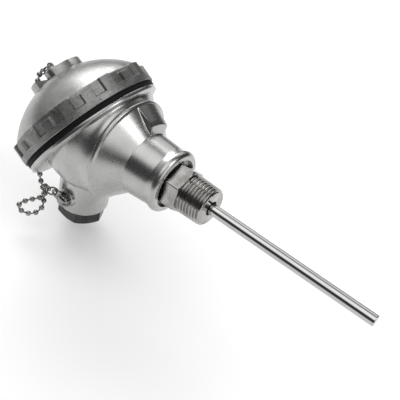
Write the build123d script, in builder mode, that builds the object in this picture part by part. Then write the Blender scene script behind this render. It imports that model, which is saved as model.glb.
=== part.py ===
from build123d import *
from math import atan2, ceil, cos, degrees, radians, sin, sqrt, tan
import os

# Thermocouple probe with a die cast screw cap head, a hexagon nipple and a bare
# metal sheath, in millimetres. The origin is on the probe's axis in the front
# face of the nipple's hexagon, where the process thread starts. +X runs down
# the probe to its tip, +Z is up, and the conduit stub points down.
# The axes of probe, cap and stub meet in one point, the head's centre, which
# lies in the sealing face of the flange.

# Layout of the head
hex_proud = 8.5              # nipple's hexagon stands out of the lip
head_tilt = 30.0             # cap axis leans this far off the probe's axis

# Flange, spigot and gasket
flange_radius = 39.0
flange_edge = 1.9            # height of the flange's rim
flange_draft = 2.2           # how far the underside tapers in
flange_draft_height = 1.1
gasket_seat = 3.5            # width of the sealing face outside the thread
spigot_wall = 3.7
spigot_height = 9.5
gasket_thickness = 2.8
gasket_clearance = 0.15

# Barrel, shoulder, cone, neck and lip, measured from the head's centre
barrel_radius = 28.3
barrel_wall = 3.0
bowl_rise = 4.7              # radius of the round bulge over the barrel's
bowl_offset = 7.0            # bulge's centre, across the cap's axis
bowl_depth = 5.0             # bulge's centre, below the flange face
shoulder_at = 24.8
shoulder_bead = 0.6          # the raised bead round the shoulder
shoulder_bead_width = 2.0
cone_end_at = 36.4
neck_radius = 17.4
neck_waist_radius = 16.4
lip_radius = 17.4
lip_length = 6.5
lip_face_radius = 15.6
neck_end_at = 57.0
floor_at = 21.8              # floor of the wiring chamber
lip_bore_radius = 13.7
lip_bore_depth = 3.0
neck_passage_radius = 8.0

# Cast pad on the cone
pad_from = 3.0               # degrees from the top
pad_to = 42.0
pad_rear_step = 0.3          # below the barrel
pad_front_rise = 4.6         # over the neck

# Conduit stub and gland
stub_radius = 14.15
stub_end_at = 50.9
stub_chamfer = 0.6
stub_passage_radius = 7.5
gland_thread_radius = 10.4
gland_thread_length = 6.0
gland_hex_flats = 24.0
gland_hex_length = 7.9
gland_hex_turn = 57.0        # clocking of the hexagon's corners, degrees
gland_bore_radius = 5.0
gland_washer_thickness = 1.0
gland_seal_length = 6.0
gland_seal_bore_radius = 4.5

# Screw, washer and tab on the side of the stub
chain_screw_drop = 42.0      # below the head's centre
chain_boss_radius = 5.1
chain_boss_height = 1.2      # proud of the stub
chain_washer_radius = 4.7
chain_washer_thickness = 0.8
chain_tab_radius = 4.0
chain_tab_thickness = 0.9
chain_tab_reach = 6.2        # screw to eyelet hole
chain_tab_rise = 0.5
chain_tab_hole_radius = 1.3
chain_screw_head_radius = 3.7
chain_screw_head_height = 2.3
chain_screw_radius = 2.0
chain_screw_bite = 4.4       # length in the stub's wall

# Cap, heights measured from the flange face along the cap's axis
cap_overhang = 1.0           # past the flange's rim
cap_rim_band = 3.8
cap_wall = 3.0
recess_depth = 1.5
skirt_top_at = 14.2
skirt_lean = 0.7             # how far the skirt draws in at its top
dome_top_at = 32.9
pad_count = 10
pad_turn = -46.2             # clocking of the tall pads
tall_pad_height = 7.1
short_pad_height = 4.9
tall_pad_width = 6.6
short_pad_width = 6.4
cap_thread_clearance = 0.05
boss_radius = 15.0
boss_top_at = 34.8
boss_slot_width = 11.7
boss_slot_turn = -62.0
crown_spot_radius = 5.6
crown_spot_at = 32.6

# Eye post in the crown
post_radius = 5.2
post_top_at = 37.2
post_chamfer = 0.5
post_shank_radius = 2.5
post_rivet_radius = 4.2
post_rivet_height = 1.3
running_clearance = 0.05
eye_radius = 1.6
eye_wire_radius = 0.5
eye_sink = 0.15              # how far the eye's wire sinks into the post

# Wire rings
ring_radius = 2.9
ring_wire_radius = 0.5

# Ball chain
ball_radius = 1.6
ball_pitch = 4.2
bead_band = 0.64             # half the length of a bead's straight band
bead_taper = 0.8             # length of each tapered end
link_width = 0.8
chain_eye_radius = 1.7
chain_eye_hole_radius = 0.9
chain_eye_thickness = 0.8

# Hexagon nipple, measured from the head's centre
nipple_hex_flats = 22.0
nipple_hex_length = 10.0
nipple_hex_turn = 7.5        # clocking of the hexagon's corners, degrees
nipple_hex_chamfer = 1.2
process_thread_length = 14.8
process_thread_relief = 0.8
thread_large_radius = 10.75
thread_taper = 1 / 32        # radius lost for each millimetre of length
head_thread_length = 13.0
nipple_tip_chamfer = 0.5
nipple_bore_radius = 3.02
nipple_mouth_radius = 4.0
nipple_mouth_depth = 2.0

# Sheath and what it holds
sheath_radius = 3.0
sheath_tail_radius = 2.8     # turned down where it sits in the nipple
sheath_weld = 0.9            # leg of the fillet weld in the nipple's mouth
sheath_wall = 0.6
sheath_reach = 96.2          # past the end of the process thread
sheath_tip_thickness = 2.5
sheath_tip_round = 0.5
sheath_tail = 4.0            # stands out of the nipple inside the head
core_clearance = 0.02
wire_radius = 0.3
wire_spacing = 1.8
wire_bend_radius = 2.5
junction_radius = 1.3
junction_length = 2.0
junction_gap = 1.0           # junction to the inside of the tip

# Terminal block
block_radius = 18.5
block_thickness = 9.0
block_bore_radius = 2.6
standoff_radius = 3.2
standoff_length = 3.3
block_screw_spacing = 30.0
block_screw_radius = 1.6
block_screw_head_radius = 3.0
block_screw_head_height = 2.2
block_screw_bite = 7.0
screw_clearance = 0.1
bar_width = 7.0
bar_length = 14.0
bar_height = 6.0
bar_spacing = 18.0
bar_wire_height = 2.4
terminal_screw_spacing = 7.0
terminal_screw_radius = 1.5
terminal_screw_head_radius = 2.6
terminal_screw_head_height = 1.8
screw_slot_width = 0.7
screw_slot_depth = 0.8
rim_break = 0.4              # small edge break on turned rims

os.makedirs("parts", exist_ok=True)

# Directions and planes shared by the pieces
head_reach = neck_end_at + hex_proud  # origin back to the head's centre
head_centre = Vector(-head_reach, 0, 0)
outward = Vector(-cos(radians(head_tilt)), 0, sin(radians(head_tilt)))
across = Vector(sin(radians(head_tilt)), 0, cos(radians(head_tilt)))
toward_side = Vector(0, 1, 0)
down = Vector(0, 0, -1)
probe_axis = Axis(head_centre, (1, 0, 0))
cap_axis = Axis(head_centre, outward)
stub_axis = Axis(head_centre, down)
# Profiles: first coordinate along the axis for the probe, from the axis for the others
probe_section = Plane(origin=head_centre, x_dir=(1, 0, 0), z_dir=(0, -1, 0))
cap_section = Plane(origin=head_centre, x_dir=across, z_dir=(0, -1, 0))
stub_section = Plane(origin=head_centre, x_dir=(1, 0, 0), z_dir=(0, 1, 0))


def plane_on_cap(height):
    """Plane square to the cap's axis, at a height over the flange face."""
    return Plane(origin=head_centre + outward * height, x_dir=across, z_dir=outward)


def plane_on_probe(reach):
    """Plane square to the probe's axis, at a distance from the head's centre."""
    return Plane(origin=head_centre + Vector(reach, 0, 0), x_dir=(0, 0, 1), z_dir=(1, 0, 0))


def plane_on_stub(drop):
    """Plane square to the stub's axis, at a depth under the head's centre."""
    return Plane(origin=head_centre + down * drop, x_dir=(1, 0, 0), z_dir=down)


def over_cap(radius, turn, height):
    """Point at a radius and turn about the cap's axis, at a height over the flange."""
    side = across * cos(radians(turn)) + toward_side * sin(radians(turn))
    return head_centre + side * radius + outward * height


def from_centre(x, y, z):
    """Point given from the head's centre."""
    return head_centre + Vector(x, y, z)


def wire_ring(plane, ring_radius, wire_radius):
    """Ring of eight sided wire about a plane's own z axis."""
    with BuildPart(mode=Mode.PRIVATE) as made:
        with BuildSketch(Plane(origin=plane.origin, x_dir=plane.x_dir, z_dir=-plane.y_dir)):
            with Locations((ring_radius, 0)):
                RegularPolygon(wire_radius, 8)
        revolve(axis=Axis(plane.origin, plane.z_dir))
    return made.part


def finish(builder, label):
    """Label a finished piece and write it to its own file."""
    builder.part.label = label
    export_step(builder.part, "parts/" + label + ".step")


# Head body, one hollow casting

spigot_radius = flange_radius - gasket_seat  # crest of the spigot's male thread
bowl_radius = barrel_radius + bowl_rise
pad_outer_radius = barrel_radius - pad_rear_step
pad_inner_radius = neck_radius + pad_front_rise
cone_start_radius = barrel_radius - 0.8
shoulder_front = shoulder_at + 0.4
bead_radius = barrel_radius + shoulder_bead
bead_start = shoulder_at - shoulder_bead_width
lip_start = neck_end_at - lip_length
tail = -barrel_radius - 6
bowl_centre = head_centre + across * bowl_offset - outward * bowl_depth
bowl_reach = shoulder_at - (bowl_centre - head_centre).X
bowl_turn_in = bowl_reach - 6
bowl_end_radius = barrel_radius - (bowl_centre - head_centre).Z
flange_under = -flange_edge - flange_draft_height
spigot_bore_radius = spigot_radius - spigot_wall
cavity_radius = barrel_radius - barrel_wall
head_thread_from = neck_end_at - lip_bore_depth - head_thread_length
seal_seat_at = stub_end_at - gland_thread_length - gland_washer_thickness - gland_seal_length
gland_bore = gland_thread_radius + running_clearance
boss_face = stub_radius + chain_boss_height

with BuildPart() as head_body:
    # Barrel, shoulder bead, cone, neck and rounded lip
    with BuildSketch(probe_section):
        with BuildLine():
            Polyline(
                (tail, 0), (tail, barrel_radius), (bead_start, barrel_radius),
                (bead_start + 0.4, bead_radius), (shoulder_at - 0.4, bead_radius),
                (shoulder_at, barrel_radius), (shoulder_front, cone_start_radius),
                (cone_end_at - 0.4, neck_radius + 0.3), (cone_end_at, neck_radius),
                (lip_start, neck_waist_radius),
            )
            ThreePointArc(
                (lip_start, neck_waist_radius),
                (lip_start + 0.40 * lip_length, neck_waist_radius + 0.3),
                (neck_end_at - 2.8, lip_radius),
            )
            ThreePointArc(
                (neck_end_at - 2.8, lip_radius),
                (neck_end_at - 0.7, lip_radius - 0.6),
                (neck_end_at, lip_face_radius),
            )
            Polyline((neck_end_at, lip_face_radius), (neck_end_at, 0), (tail, 0))
        make_face()
    revolve(axis=probe_axis)

    # Round bulge that carries the flange on the short side of the barrel
    with BuildSketch(Plane(origin=bowl_centre, x_dir=(1, 0, 0), z_dir=(0, -1, 0))):
        with BuildLine():
            turn_radius = sqrt(bowl_radius ** 2 - bowl_turn_in ** 2)
            Line((-bowl_radius, 0), (bowl_reach, 0))
            Line((bowl_reach, 0), (bowl_reach, bowl_end_radius))
            ThreePointArc(
                (bowl_reach, bowl_end_radius),
                (bowl_reach - 1.8, (bowl_end_radius + turn_radius) / 2 + 0.9),
                (bowl_turn_in, turn_radius),
            )
            ThreePointArc(
                (bowl_turn_in, turn_radius),
                (0, bowl_radius),
                (-bowl_radius, 0),
            )
        make_face()
    revolve(axis=Axis(bowl_centre, (1, 0, 0)))
    split(bisect_by=plane_on_cap(0), keep=Keep.BOTTOM)

    # Flange
    with BuildSketch(cap_section):
        with BuildLine():
            Polyline(
                (0, 0), (flange_radius, 0), (flange_radius, -flange_edge),
                (flange_radius - flange_draft, flange_under), (0, flange_under), close=True,
            )
        make_face()
    revolve(axis=cap_axis)

    # Conduit stub with the boss for the chain screw
    with BuildSketch(plane_on_stub(cavity_radius / 2)):
        Circle(stub_radius)
    extrude(amount=stub_end_at - cavity_radius / 2)
    chamfer(head_body.edges().filter_by(GeomType.CIRCLE).sort_by(Axis.Z)[0], stub_chamfer)
    with BuildSketch(Plane(origin=from_centre(0, -boss_face, -chain_screw_drop), z_dir=(0, 1, 0))):
        Circle(chain_boss_radius)
    extrude(amount=boss_face - stub_passage_radius)

    # Cast pad on the cone
    pad_up = Vector(0, sin(radians(pad_to)), cos(radians(pad_to)))
    with BuildSketch(Plane(origin=head_centre, x_dir=(1, 0, 0), z_dir=Vector(1, 0, 0).cross(pad_up))):
        with BuildLine():
            Polyline(
                (shoulder_at - 1, neck_waist_radius), (shoulder_at - 1, pad_outer_radius),
                (shoulder_at, pad_outer_radius), (cone_end_at - 0.2, pad_inner_radius),
                (cone_end_at - 0.2, neck_waist_radius), close=True,
            )
        make_face()
    revolve(axis=probe_axis, revolution_arc=pad_to - pad_from)

    # Wiring chamber, neck passage, thread bore and the lip's counterbore
    with BuildSketch(probe_section):
        with BuildLine():
            Polyline(
                (tail - 1, 0), (tail - 1, cavity_radius), (floor_at, cavity_radius),
                (floor_at, neck_passage_radius), (head_thread_from, neck_passage_radius),
                (head_thread_from, thread_large_radius + running_clearance),
                (neck_end_at - lip_bore_depth, thread_large_radius + running_clearance),
                (neck_end_at - lip_bore_depth, lip_bore_radius),
                (neck_end_at + 1, lip_bore_radius), (neck_end_at + 1, 0), close=True,
            )
        make_face()
    revolve(axis=probe_axis, mode=Mode.SUBTRACT)

    # Conduit passage
    with BuildSketch(stub_section):
        with BuildLine():
            Polyline(
                (0, 0), (stub_passage_radius, 0), (stub_passage_radius, seal_seat_at),
                (gland_bore, seal_seat_at), (gland_bore, stub_end_at + 1), (0, stub_end_at + 1),
                close=True,
            )
        make_face()
    revolve(axis=stub_axis, mode=Mode.SUBTRACT)

    # Spigot with the cap's male thread
    with BuildSketch(cap_section):
        with BuildLine():
            Polyline(
                (spigot_bore_radius, -flange_edge), (spigot_radius, -flange_edge),
                (spigot_radius, spigot_height - 2 * rim_break),
                (spigot_radius - rim_break, spigot_height),
                (spigot_bore_radius, spigot_height), close=True,
            )
        make_face()
    revolve(axis=cap_axis)

    # Screw holes in the chamber's floor and in the stub's boss
    with BuildSketch(plane_on_probe(floor_at)):
        with Locations((0, block_screw_spacing / 2), (0, -block_screw_spacing / 2)):
            Circle(block_screw_radius + running_clearance)
    extrude(amount=block_screw_bite + 1, mode=Mode.SUBTRACT)
    with BuildSketch(Plane(origin=from_centre(0, -boss_face, -chain_screw_drop), z_dir=(0, 1, 0))):
        Circle(chain_screw_radius + running_clearance)
    extrude(amount=boss_face - stub_passage_radius, mode=Mode.SUBTRACT)
finish(head_body, "head_body")


# Gasket

with BuildPart() as cap_gasket:
    with BuildSketch(plane_on_cap(0)):
        Circle(flange_radius)
        Circle(spigot_radius + gasket_clearance, mode=Mode.SUBTRACT)
    extrude(amount=gasket_thickness)
finish(cap_gasket, "cap_gasket")


# Screw cap, one hollow casting

cap_radius = flange_radius + cap_overhang
cap_bore_radius = spigot_radius + cap_thread_clearance
recess_radius = cap_radius - recess_depth
rim_top = gasket_thickness + cap_rim_band
dome_edge_radius = recess_radius - skirt_lean
dome_rise = dome_top_at - skirt_top_at
dome_radius = (dome_edge_radius ** 2 + dome_rise ** 2) / (2 * dome_rise)
dome_centre_at = dome_top_at - dome_radius
dome_inner_radius = dome_radius - cap_wall
bore_top = dome_centre_at + sqrt(dome_inner_radius ** 2 - cap_bore_radius ** 2)


def dome_point(radius, angle):
    """Point of the dome's section, at an angle off the cap's axis."""
    return (radius * sin(radians(angle)), dome_centre_at + radius * cos(radians(angle)))


outer_half_angle = degrees(atan2(dome_edge_radius, skirt_top_at - dome_centre_at))
inner_half_angle = degrees(atan2(cap_bore_radius, bore_top - dome_centre_at))

with BuildPart() as screw_cap:
    with BuildSketch(cap_section):
        with BuildLine():
            Polyline(
                (cap_bore_radius, bore_top), (cap_bore_radius, gasket_thickness),
                (cap_radius - rim_break, gasket_thickness),
                (cap_radius, gasket_thickness + rim_break), (cap_radius, rim_top),
                (recess_radius, rim_top), (recess_radius, skirt_top_at - 1),
                (dome_edge_radius, skirt_top_at),
            )
            ThreePointArc(
                (dome_edge_radius, skirt_top_at),
                dome_point(dome_radius, outer_half_angle / 2),
                (0, dome_top_at),
            )
            Line((0, dome_top_at), (0, dome_top_at - cap_wall))
            ThreePointArc(
                (0, dome_top_at - cap_wall),
                dome_point(dome_inner_radius, inner_half_angle / 2),
                (cap_bore_radius, bore_top),
            )
        make_face()
    revolve(axis=cap_axis)

    # Castellated grip: tall pads with short blocks midway between them
    for pad_height, pad_width, turn in (
        (tall_pad_height, tall_pad_width, pad_turn),
        (short_pad_height, short_pad_width, pad_turn + 180 / pad_count),
    ):
        with BuildSketch(plane_on_cap(rim_top)):
            with PolarLocations(recess_radius + recess_depth / 2, pad_count, start_angle=turn):
                Rectangle(2 * recess_depth, pad_width)
            Circle(cap_radius, mode=Mode.INTERSECT)
        extrude(amount=pad_height)

    # Slotted crown boss: two lugs on the dome
    with BuildSketch(plane_on_cap(dome_top_at - cap_wall + 0.1)):
        Circle(boss_radius)
        with Locations(Rotation(0, 0, boss_slot_turn)):
            Rectangle(3 * boss_radius, boss_slot_width, mode=Mode.SUBTRACT)
    extrude(amount=boss_top_at - dome_top_at + cap_wall - 0.1)

    # Spot face and hole for the eye post
    with BuildSketch(plane_on_cap(crown_spot_at)):
        Circle(crown_spot_radius)
    extrude(amount=dome_top_at - crown_spot_at + 0.5, mode=Mode.SUBTRACT)
    with BuildSketch(plane_on_cap(crown_spot_at + 1)):
        Circle(post_shank_radius + running_clearance)
    extrude(amount=-2 * cap_wall, mode=Mode.SUBTRACT)
finish(screw_cap, "screw_cap")


# Eye post riveted through the crown

post_base = crown_spot_at + running_clearance
rivet_top = dome_centre_at + sqrt(dome_inner_radius ** 2 - post_rivet_radius ** 2) - running_clearance
eye_at = post_top_at + eye_radius + eye_wire_radius - eye_sink
slot_direction = across * cos(radians(boss_slot_turn)) + toward_side * sin(radians(boss_slot_turn))
chain_side = outward.cross(slot_direction)

with BuildPart() as chain_swivel:
    with BuildSketch(cap_section):
        with BuildLine():
            Polyline(
                (0, rivet_top - post_rivet_height),
                (post_rivet_radius - rim_break, rivet_top - post_rivet_height),
                (post_rivet_radius, rivet_top - post_rivet_height + rim_break),
                (post_rivet_radius, rivet_top), (post_shank_radius, rivet_top),
                (post_shank_radius, post_base), (post_radius, post_base),
                (post_radius, post_top_at - post_chamfer),
                (post_radius - post_chamfer, post_top_at), (0, post_top_at), close=True,
            )
        make_face()
    revolve(axis=cap_axis)
    add(wire_ring(Plane(origin=head_centre + outward * eye_at, z_dir=slot_direction),
                  eye_radius, eye_wire_radius))
finish(chain_swivel, "chain_swivel")


# Wire rings at the two ends of the chain

tab_hole = from_centre(
    -chain_tab_reach, -boss_face - chain_washer_thickness - chain_tab_thickness / 2,
    -chain_screw_drop + chain_tab_rise,
)
top_ring_middle = head_centre + outward * (eye_at + 0.3) - chain_side * (ring_radius - 0.6)
end_ring_middle = tab_hole + Vector(-ring_radius + 0.5, 0, 0)

with BuildPart() as chain_top_ring:
    add(wire_ring(Plane(origin=top_ring_middle, x_dir=slot_direction, z_dir=outward),
                  ring_radius, ring_wire_radius))
finish(chain_top_ring, "chain_top_ring")

with BuildPart() as chain_end_ring:
    add(wire_ring(Plane(origin=end_ring_middle, z_dir=(0, 0, 1)), ring_radius, ring_wire_radius))
finish(chain_end_ring, "chain_end_ring")


# Ball chain, from the top ring over the dome and the skirt, down behind the
# flange, round one open loop beside the stub and up to the end ring

ball_clear = ball_radius + 0.3
over_dome = dome_radius + ball_clear
crown_turn = -172.0          # where the chain runs down the dome, degrees
rim_turn = -158.0            # and where it passes the rim
first_ball = ball_radius + ring_wire_radius + 0.5


def ride_dome(radius, turn):
    """Point where the chain lies on the dome, at a radius and turn about the cap's axis."""
    return over_cap(radius, turn, dome_centre_at + sqrt(over_dome ** 2 - radius ** 2))


top_eye = top_ring_middle - chain_side * ring_radius
end_eye = end_ring_middle + Vector(-ring_radius, 0, 0)
chain_points = [
    top_eye - chain_side * first_ball,
    over_cap(12.5, crown_turn + 12, boss_top_at + ball_clear + 0.6),
    over_cap(16.4, crown_turn + 6, boss_top_at + 1.6),
    over_cap(18.9, crown_turn + 3, boss_top_at - 1.6),
    ride_dome(23.5, crown_turn),
    ride_dome(30.0, crown_turn),
    ride_dome(36.0, crown_turn + 3),
    over_cap(cap_radius + 0.6, rim_turn - 5, skirt_top_at + 1.6),
    over_cap(cap_radius + ball_clear, rim_turn - 1, skirt_top_at - 3.5),
    over_cap(cap_radius + ball_clear, rim_turn + 1, rim_top - 1),
    over_cap(cap_radius + ball_clear, rim_turn + 1, 0.5),
    over_cap(cap_radius + 4.9, rim_turn + 0.7, -3.2),
    over_cap(cap_radius + 8.2, rim_turn - 1.4, -7.8),
    from_centre(-14.2, -16.9, -49.0),
    from_centre(-12.3, -19.4, -54.0),
    from_centre(-13.5, -23.4, -57.3),
    from_centre(-17.0, -26.5, -58.2),
    from_centre(-20.8, -28.4, -56.6),
    from_centre(-21.4, -27.6, -53.4),
    from_centre(-18.4, -24.2, -50.6),
    from_centre(-14.6, -21.0, -48.4),
    from_centre(-12.3, -18.7, -46.0),
    end_eye + Vector(-first_ball, 0, -0.2),
]


# One eight sided bead with tapered ends
with BuildPart() as bead:
    for way in (1, -1):
        with BuildSketch(Plane.XY):
            RegularPolygon(ball_radius, 8)
        extrude(amount=way * bead_band)
        with BuildSketch(Plane.XY.offset(way * bead_band)):
            RegularPolygon(ball_radius, 8)
        extrude(amount=way * bead_taper, taper=45)


def pin_solid(start, end):
    """The square pin between two neighbouring beads."""
    with BuildPart(mode=Mode.PRIVATE) as pin:
        with BuildSketch(Plane(origin=start, z_dir=end - start)):
            Rectangle(link_width, link_width)
        extrude(amount=(end - start).length)
    return pin.part


chain_line = Spline(*chain_points)
ball_count = round(chain_line.length / ball_pitch) + 1
ball_steps = [step / (ball_count - 1) for step in range(ball_count)]
balls = [chain_line.position_at(step) for step in ball_steps]
ball_planes = [Plane(origin=chain_line.position_at(step), z_dir=chain_line.tangent_at(step))
               for step in ball_steps]
chain_beads = [plane.location * bead.part for plane in ball_planes]
chain_pins = [pin_solid(start, end) for start, end in zip(balls[:-1], balls[1:])]
with BuildPart() as ball_chain:
    add(chain_beads + chain_pins)
    # Flat eyes that hook the rings
    for eye, eye_normal in ((top_eye, outward.cross(chain_side)), (end_eye, Vector(0, 1, 0))):
        with BuildSketch(Plane(origin=eye, z_dir=eye_normal)):
            Circle(chain_eye_radius)
            Circle(chain_eye_hole_radius, mode=Mode.SUBTRACT)
        extrude(amount=chain_eye_thickness / 2, both=True)
finish(ball_chain, "ball_chain")


# Washer, tab and screw on the side of the stub

with BuildPart() as chain_washer:
    with BuildSketch(Plane(origin=from_centre(0, -boss_face, -chain_screw_drop), z_dir=(0, -1, 0))):
        Circle(chain_washer_radius)
        Circle(chain_screw_radius + screw_clearance, mode=Mode.SUBTRACT)
    extrude(amount=chain_washer_thickness)
finish(chain_washer, "chain_washer")

tab_face = boss_face + chain_washer_thickness
with BuildPart() as chain_tab:
    tab_plane = Plane(
        origin=from_centre(0, -tab_face, -chain_screw_drop), x_dir=(1, 0, 0), z_dir=(0, -1, 0)
    )
    with BuildSketch(tab_plane):
        Circle(chain_tab_radius)
        with Locations((-chain_tab_reach, chain_tab_rise)):
            Circle(2 * chain_tab_hole_radius)
        with BuildLine():
            Polyline(
                (0, chain_tab_radius), (-chain_tab_reach, chain_tab_rise + 2 * chain_tab_hole_radius),
                (-chain_tab_reach, chain_tab_rise - 2 * chain_tab_hole_radius),
                (0, -chain_tab_radius), close=True,
            )
        make_face()
        Circle(chain_screw_radius + screw_clearance, mode=Mode.SUBTRACT)
        with Locations((-chain_tab_reach, chain_tab_rise)):
            Circle(chain_tab_hole_radius, mode=Mode.SUBTRACT)
    extrude(amount=chain_tab_thickness)
finish(chain_tab, "chain_tab")

screw_face = tab_face + chain_tab_thickness
chain_screw_tip = screw_face - boss_face + chain_screw_bite
with BuildPart() as chain_screw:
    screw_section = Plane(
        origin=from_centre(0, -screw_face, -chain_screw_drop), x_dir=(1, 0, 0), z_dir=(0, 0, 1)
    )
    with BuildSketch(screw_section):
        with BuildLine():
            Line((0, chain_screw_tip), (0, -chain_screw_head_height))
            ThreePointArc(
                (0, -chain_screw_head_height),
                (0.75 * chain_screw_head_radius, -0.8 * chain_screw_head_height),
                (chain_screw_head_radius, -0.3 * chain_screw_head_height),
            )
            Polyline(
                (chain_screw_head_radius, -0.3 * chain_screw_head_height),
                (chain_screw_head_radius, 0), (chain_screw_radius, 0),
                (chain_screw_radius, chain_screw_tip), (0, chain_screw_tip),
            )
        make_face()
    revolve(axis=Axis(screw_section.origin, (0, 1, 0)))
    with BuildSketch(Plane(origin=from_centre(0, -screw_face - chain_screw_head_height, -chain_screw_drop),
                           x_dir=(1, 0, 0), z_dir=(0, 1, 0))):
        Rectangle(2.2 * chain_screw_head_radius, screw_slot_width)
    extrude(amount=screw_slot_depth + 0.3, mode=Mode.SUBTRACT)
finish(chain_screw, "chain_screw")


# Gland: hexagon nut, thrust washer and rubber seal inside the stub

gland_corner = gland_hex_flats / sqrt(3)
seal_end = seal_seat_at + gland_seal_length
with BuildPart() as gland_nut:
    with BuildSketch(plane_on_stub(stub_end_at)):
        RegularPolygon(gland_corner, 6, rotation=gland_hex_turn)
    extrude(amount=gland_hex_length)
    # Turned chamfer on the outer corners
    with BuildSketch(stub_section):
        with BuildLine():
            Polyline(
                (0, stub_end_at), (gland_corner + 1, stub_end_at),
                (gland_corner + 1, stub_end_at + gland_hex_length - 1.4),
                (gland_corner - 1.4, stub_end_at + gland_hex_length),
                (0, stub_end_at + gland_hex_length), close=True,
            )
        make_face()
    revolve(axis=stub_axis, mode=Mode.INTERSECT)
    with BuildSketch(plane_on_stub(stub_end_at)):
        Circle(gland_thread_radius)
    extrude(amount=-gland_thread_length)
    with BuildSketch(plane_on_stub(stub_end_at - gland_thread_length)):
        Circle(gland_bore_radius)
    extrude(amount=gland_thread_length + gland_hex_length, mode=Mode.SUBTRACT)
    chamfer(
        gland_nut.edges().filter_by(GeomType.CIRCLE).group_by(Axis.Z)[0].sort_by(SortBy.RADIUS)[0],
        rim_break,
    )
finish(gland_nut, "gland_nut")

with BuildPart() as gland_washer:
    with BuildSketch(plane_on_stub(seal_end)):
        Circle(gland_bore - running_clearance)
        Circle(gland_bore_radius + running_clearance, mode=Mode.SUBTRACT)
    extrude(amount=gland_washer_thickness)
finish(gland_washer, "gland_washer")

with BuildPart() as gland_seal:
    with BuildSketch(plane_on_stub(seal_seat_at)):
        Circle(gland_bore - running_clearance)
        Circle(gland_seal_bore_radius, mode=Mode.SUBTRACT)
    extrude(amount=gland_seal_length)
finish(gland_seal, "gland_seal")


# Hexagon nipple

hex_front = head_reach
hex_back = hex_front - nipple_hex_length
thread_end = hex_front + process_thread_length
thread_small_radius = thread_large_radius - thread_taper * process_thread_length
nipple_back = head_thread_from + 1
nipple_corner = nipple_hex_flats / sqrt(3)
with BuildPart() as hex_nipple:
    with BuildSketch(plane_on_probe(hex_back)):
        RegularPolygon(nipple_corner, 6, rotation=nipple_hex_turn)
    extrude(amount=nipple_hex_length)
    # Turned chamfers on both ends of the hexagon
    with BuildSketch(probe_section):
        with BuildLine():
            Polyline(
                (hex_back, 0), (hex_back, nipple_corner - nipple_hex_chamfer),
                (hex_back + nipple_hex_chamfer / 2, nipple_corner),
                (hex_front - nipple_hex_chamfer / 2, nipple_corner),
                (hex_front, nipple_corner - nipple_hex_chamfer), (hex_front, 0), close=True,
            )
        make_face()
    revolve(axis=probe_axis, mode=Mode.INTERSECT)
    # Both threaded ends, at their crests
    with BuildSketch(probe_section):
        with BuildLine():
            Polyline(
                (nipple_back, 0), (nipple_back, thread_small_radius - nipple_tip_chamfer),
                (nipple_back + nipple_tip_chamfer, thread_small_radius),
                (hex_back, thread_large_radius), (hex_back + 1, thread_large_radius),
                (hex_back + 1, 0), close=True,
            )
        make_face()
        with BuildLine():
            Polyline(
                (hex_front - 1, 0), (hex_front - 1, thread_large_radius - process_thread_relief),
                (hex_front + process_thread_relief, thread_large_radius - process_thread_relief),
                (hex_front + 2 * process_thread_relief, thread_large_radius),
                (thread_end - nipple_tip_chamfer, thread_small_radius),
                (thread_end, thread_small_radius - nipple_tip_chamfer), (thread_end, 0), close=True,
            )
        make_face()
    revolve(axis=probe_axis)
    with BuildSketch(plane_on_probe(nipple_back)):
        Circle(nipple_bore_radius)
    extrude(amount=thread_end - nipple_back, mode=Mode.SUBTRACT)
    with BuildSketch(plane_on_probe(thread_end)):
        Circle(nipple_mouth_radius)
    extrude(amount=-nipple_mouth_depth, mode=Mode.SUBTRACT)
finish(hex_nipple, "hex_nipple")


# Sheath, ceramic core, junction and wires

sheath_start = nipple_back - sheath_tail
sheath_tip = thread_end + sheath_reach
weld_start = thread_end - nipple_mouth_depth
sheath_bore_end = sheath_tip - sheath_tip_thickness
sheath_bore_radius = sheath_radius - sheath_wall
with BuildPart() as probe_sheath:
    with BuildSketch(plane_on_probe(sheath_start)):
        Circle(sheath_tail_radius)
    extrude(amount=weld_start - sheath_start)
    with BuildSketch(plane_on_probe(weld_start)):
        Circle(sheath_radius)
    extrude(amount=sheath_tip - weld_start)
    with Locations(plane_on_probe(weld_start)):
        Cone(
            sheath_radius + sheath_weld,
            sheath_radius,
            sheath_weld,
            align=(Align.CENTER, Align.CENTER, Align.MIN),
        )
    fillet(probe_sheath.edges().filter_by(GeomType.CIRCLE).sort_by(Axis.X)[-1], sheath_tip_round)
    with BuildSketch(plane_on_probe(sheath_start)):
        Circle(sheath_bore_radius)
    extrude(amount=sheath_bore_end - sheath_start, mode=Mode.SUBTRACT)
finish(probe_sheath, "probe_sheath")

junction_end = sheath_bore_end - junction_gap
junction_start = junction_end - junction_length
core_radius = sheath_bore_radius - core_clearance
with BuildPart() as measuring_junction:
    with BuildSketch(plane_on_probe(junction_start)):
        Circle(junction_radius)
    extrude(amount=junction_length)
    fillet(measuring_junction.edges().filter_by(GeomType.CIRCLE).sort_by(Axis.X)[-1], junction_radius / 2)
finish(measuring_junction, "measuring_junction")

with BuildPart() as sheath_insulation:
    with BuildSketch(plane_on_probe(sheath_start)):
        Circle(core_radius)
    extrude(amount=sheath_bore_end - sheath_start)
    with BuildSketch(plane_on_probe(junction_start)):
        Circle(junction_radius + core_clearance)
    extrude(amount=junction_length + core_clearance, mode=Mode.SUBTRACT)
    with BuildSketch(plane_on_probe(sheath_start)):
        with Locations((wire_spacing / 2, 0), (-wire_spacing / 2, 0)):
            Circle(wire_radius + core_clearance)
    extrude(amount=junction_start - sheath_start, mode=Mode.SUBTRACT)
finish(sheath_insulation, "sheath_insulation")

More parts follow.
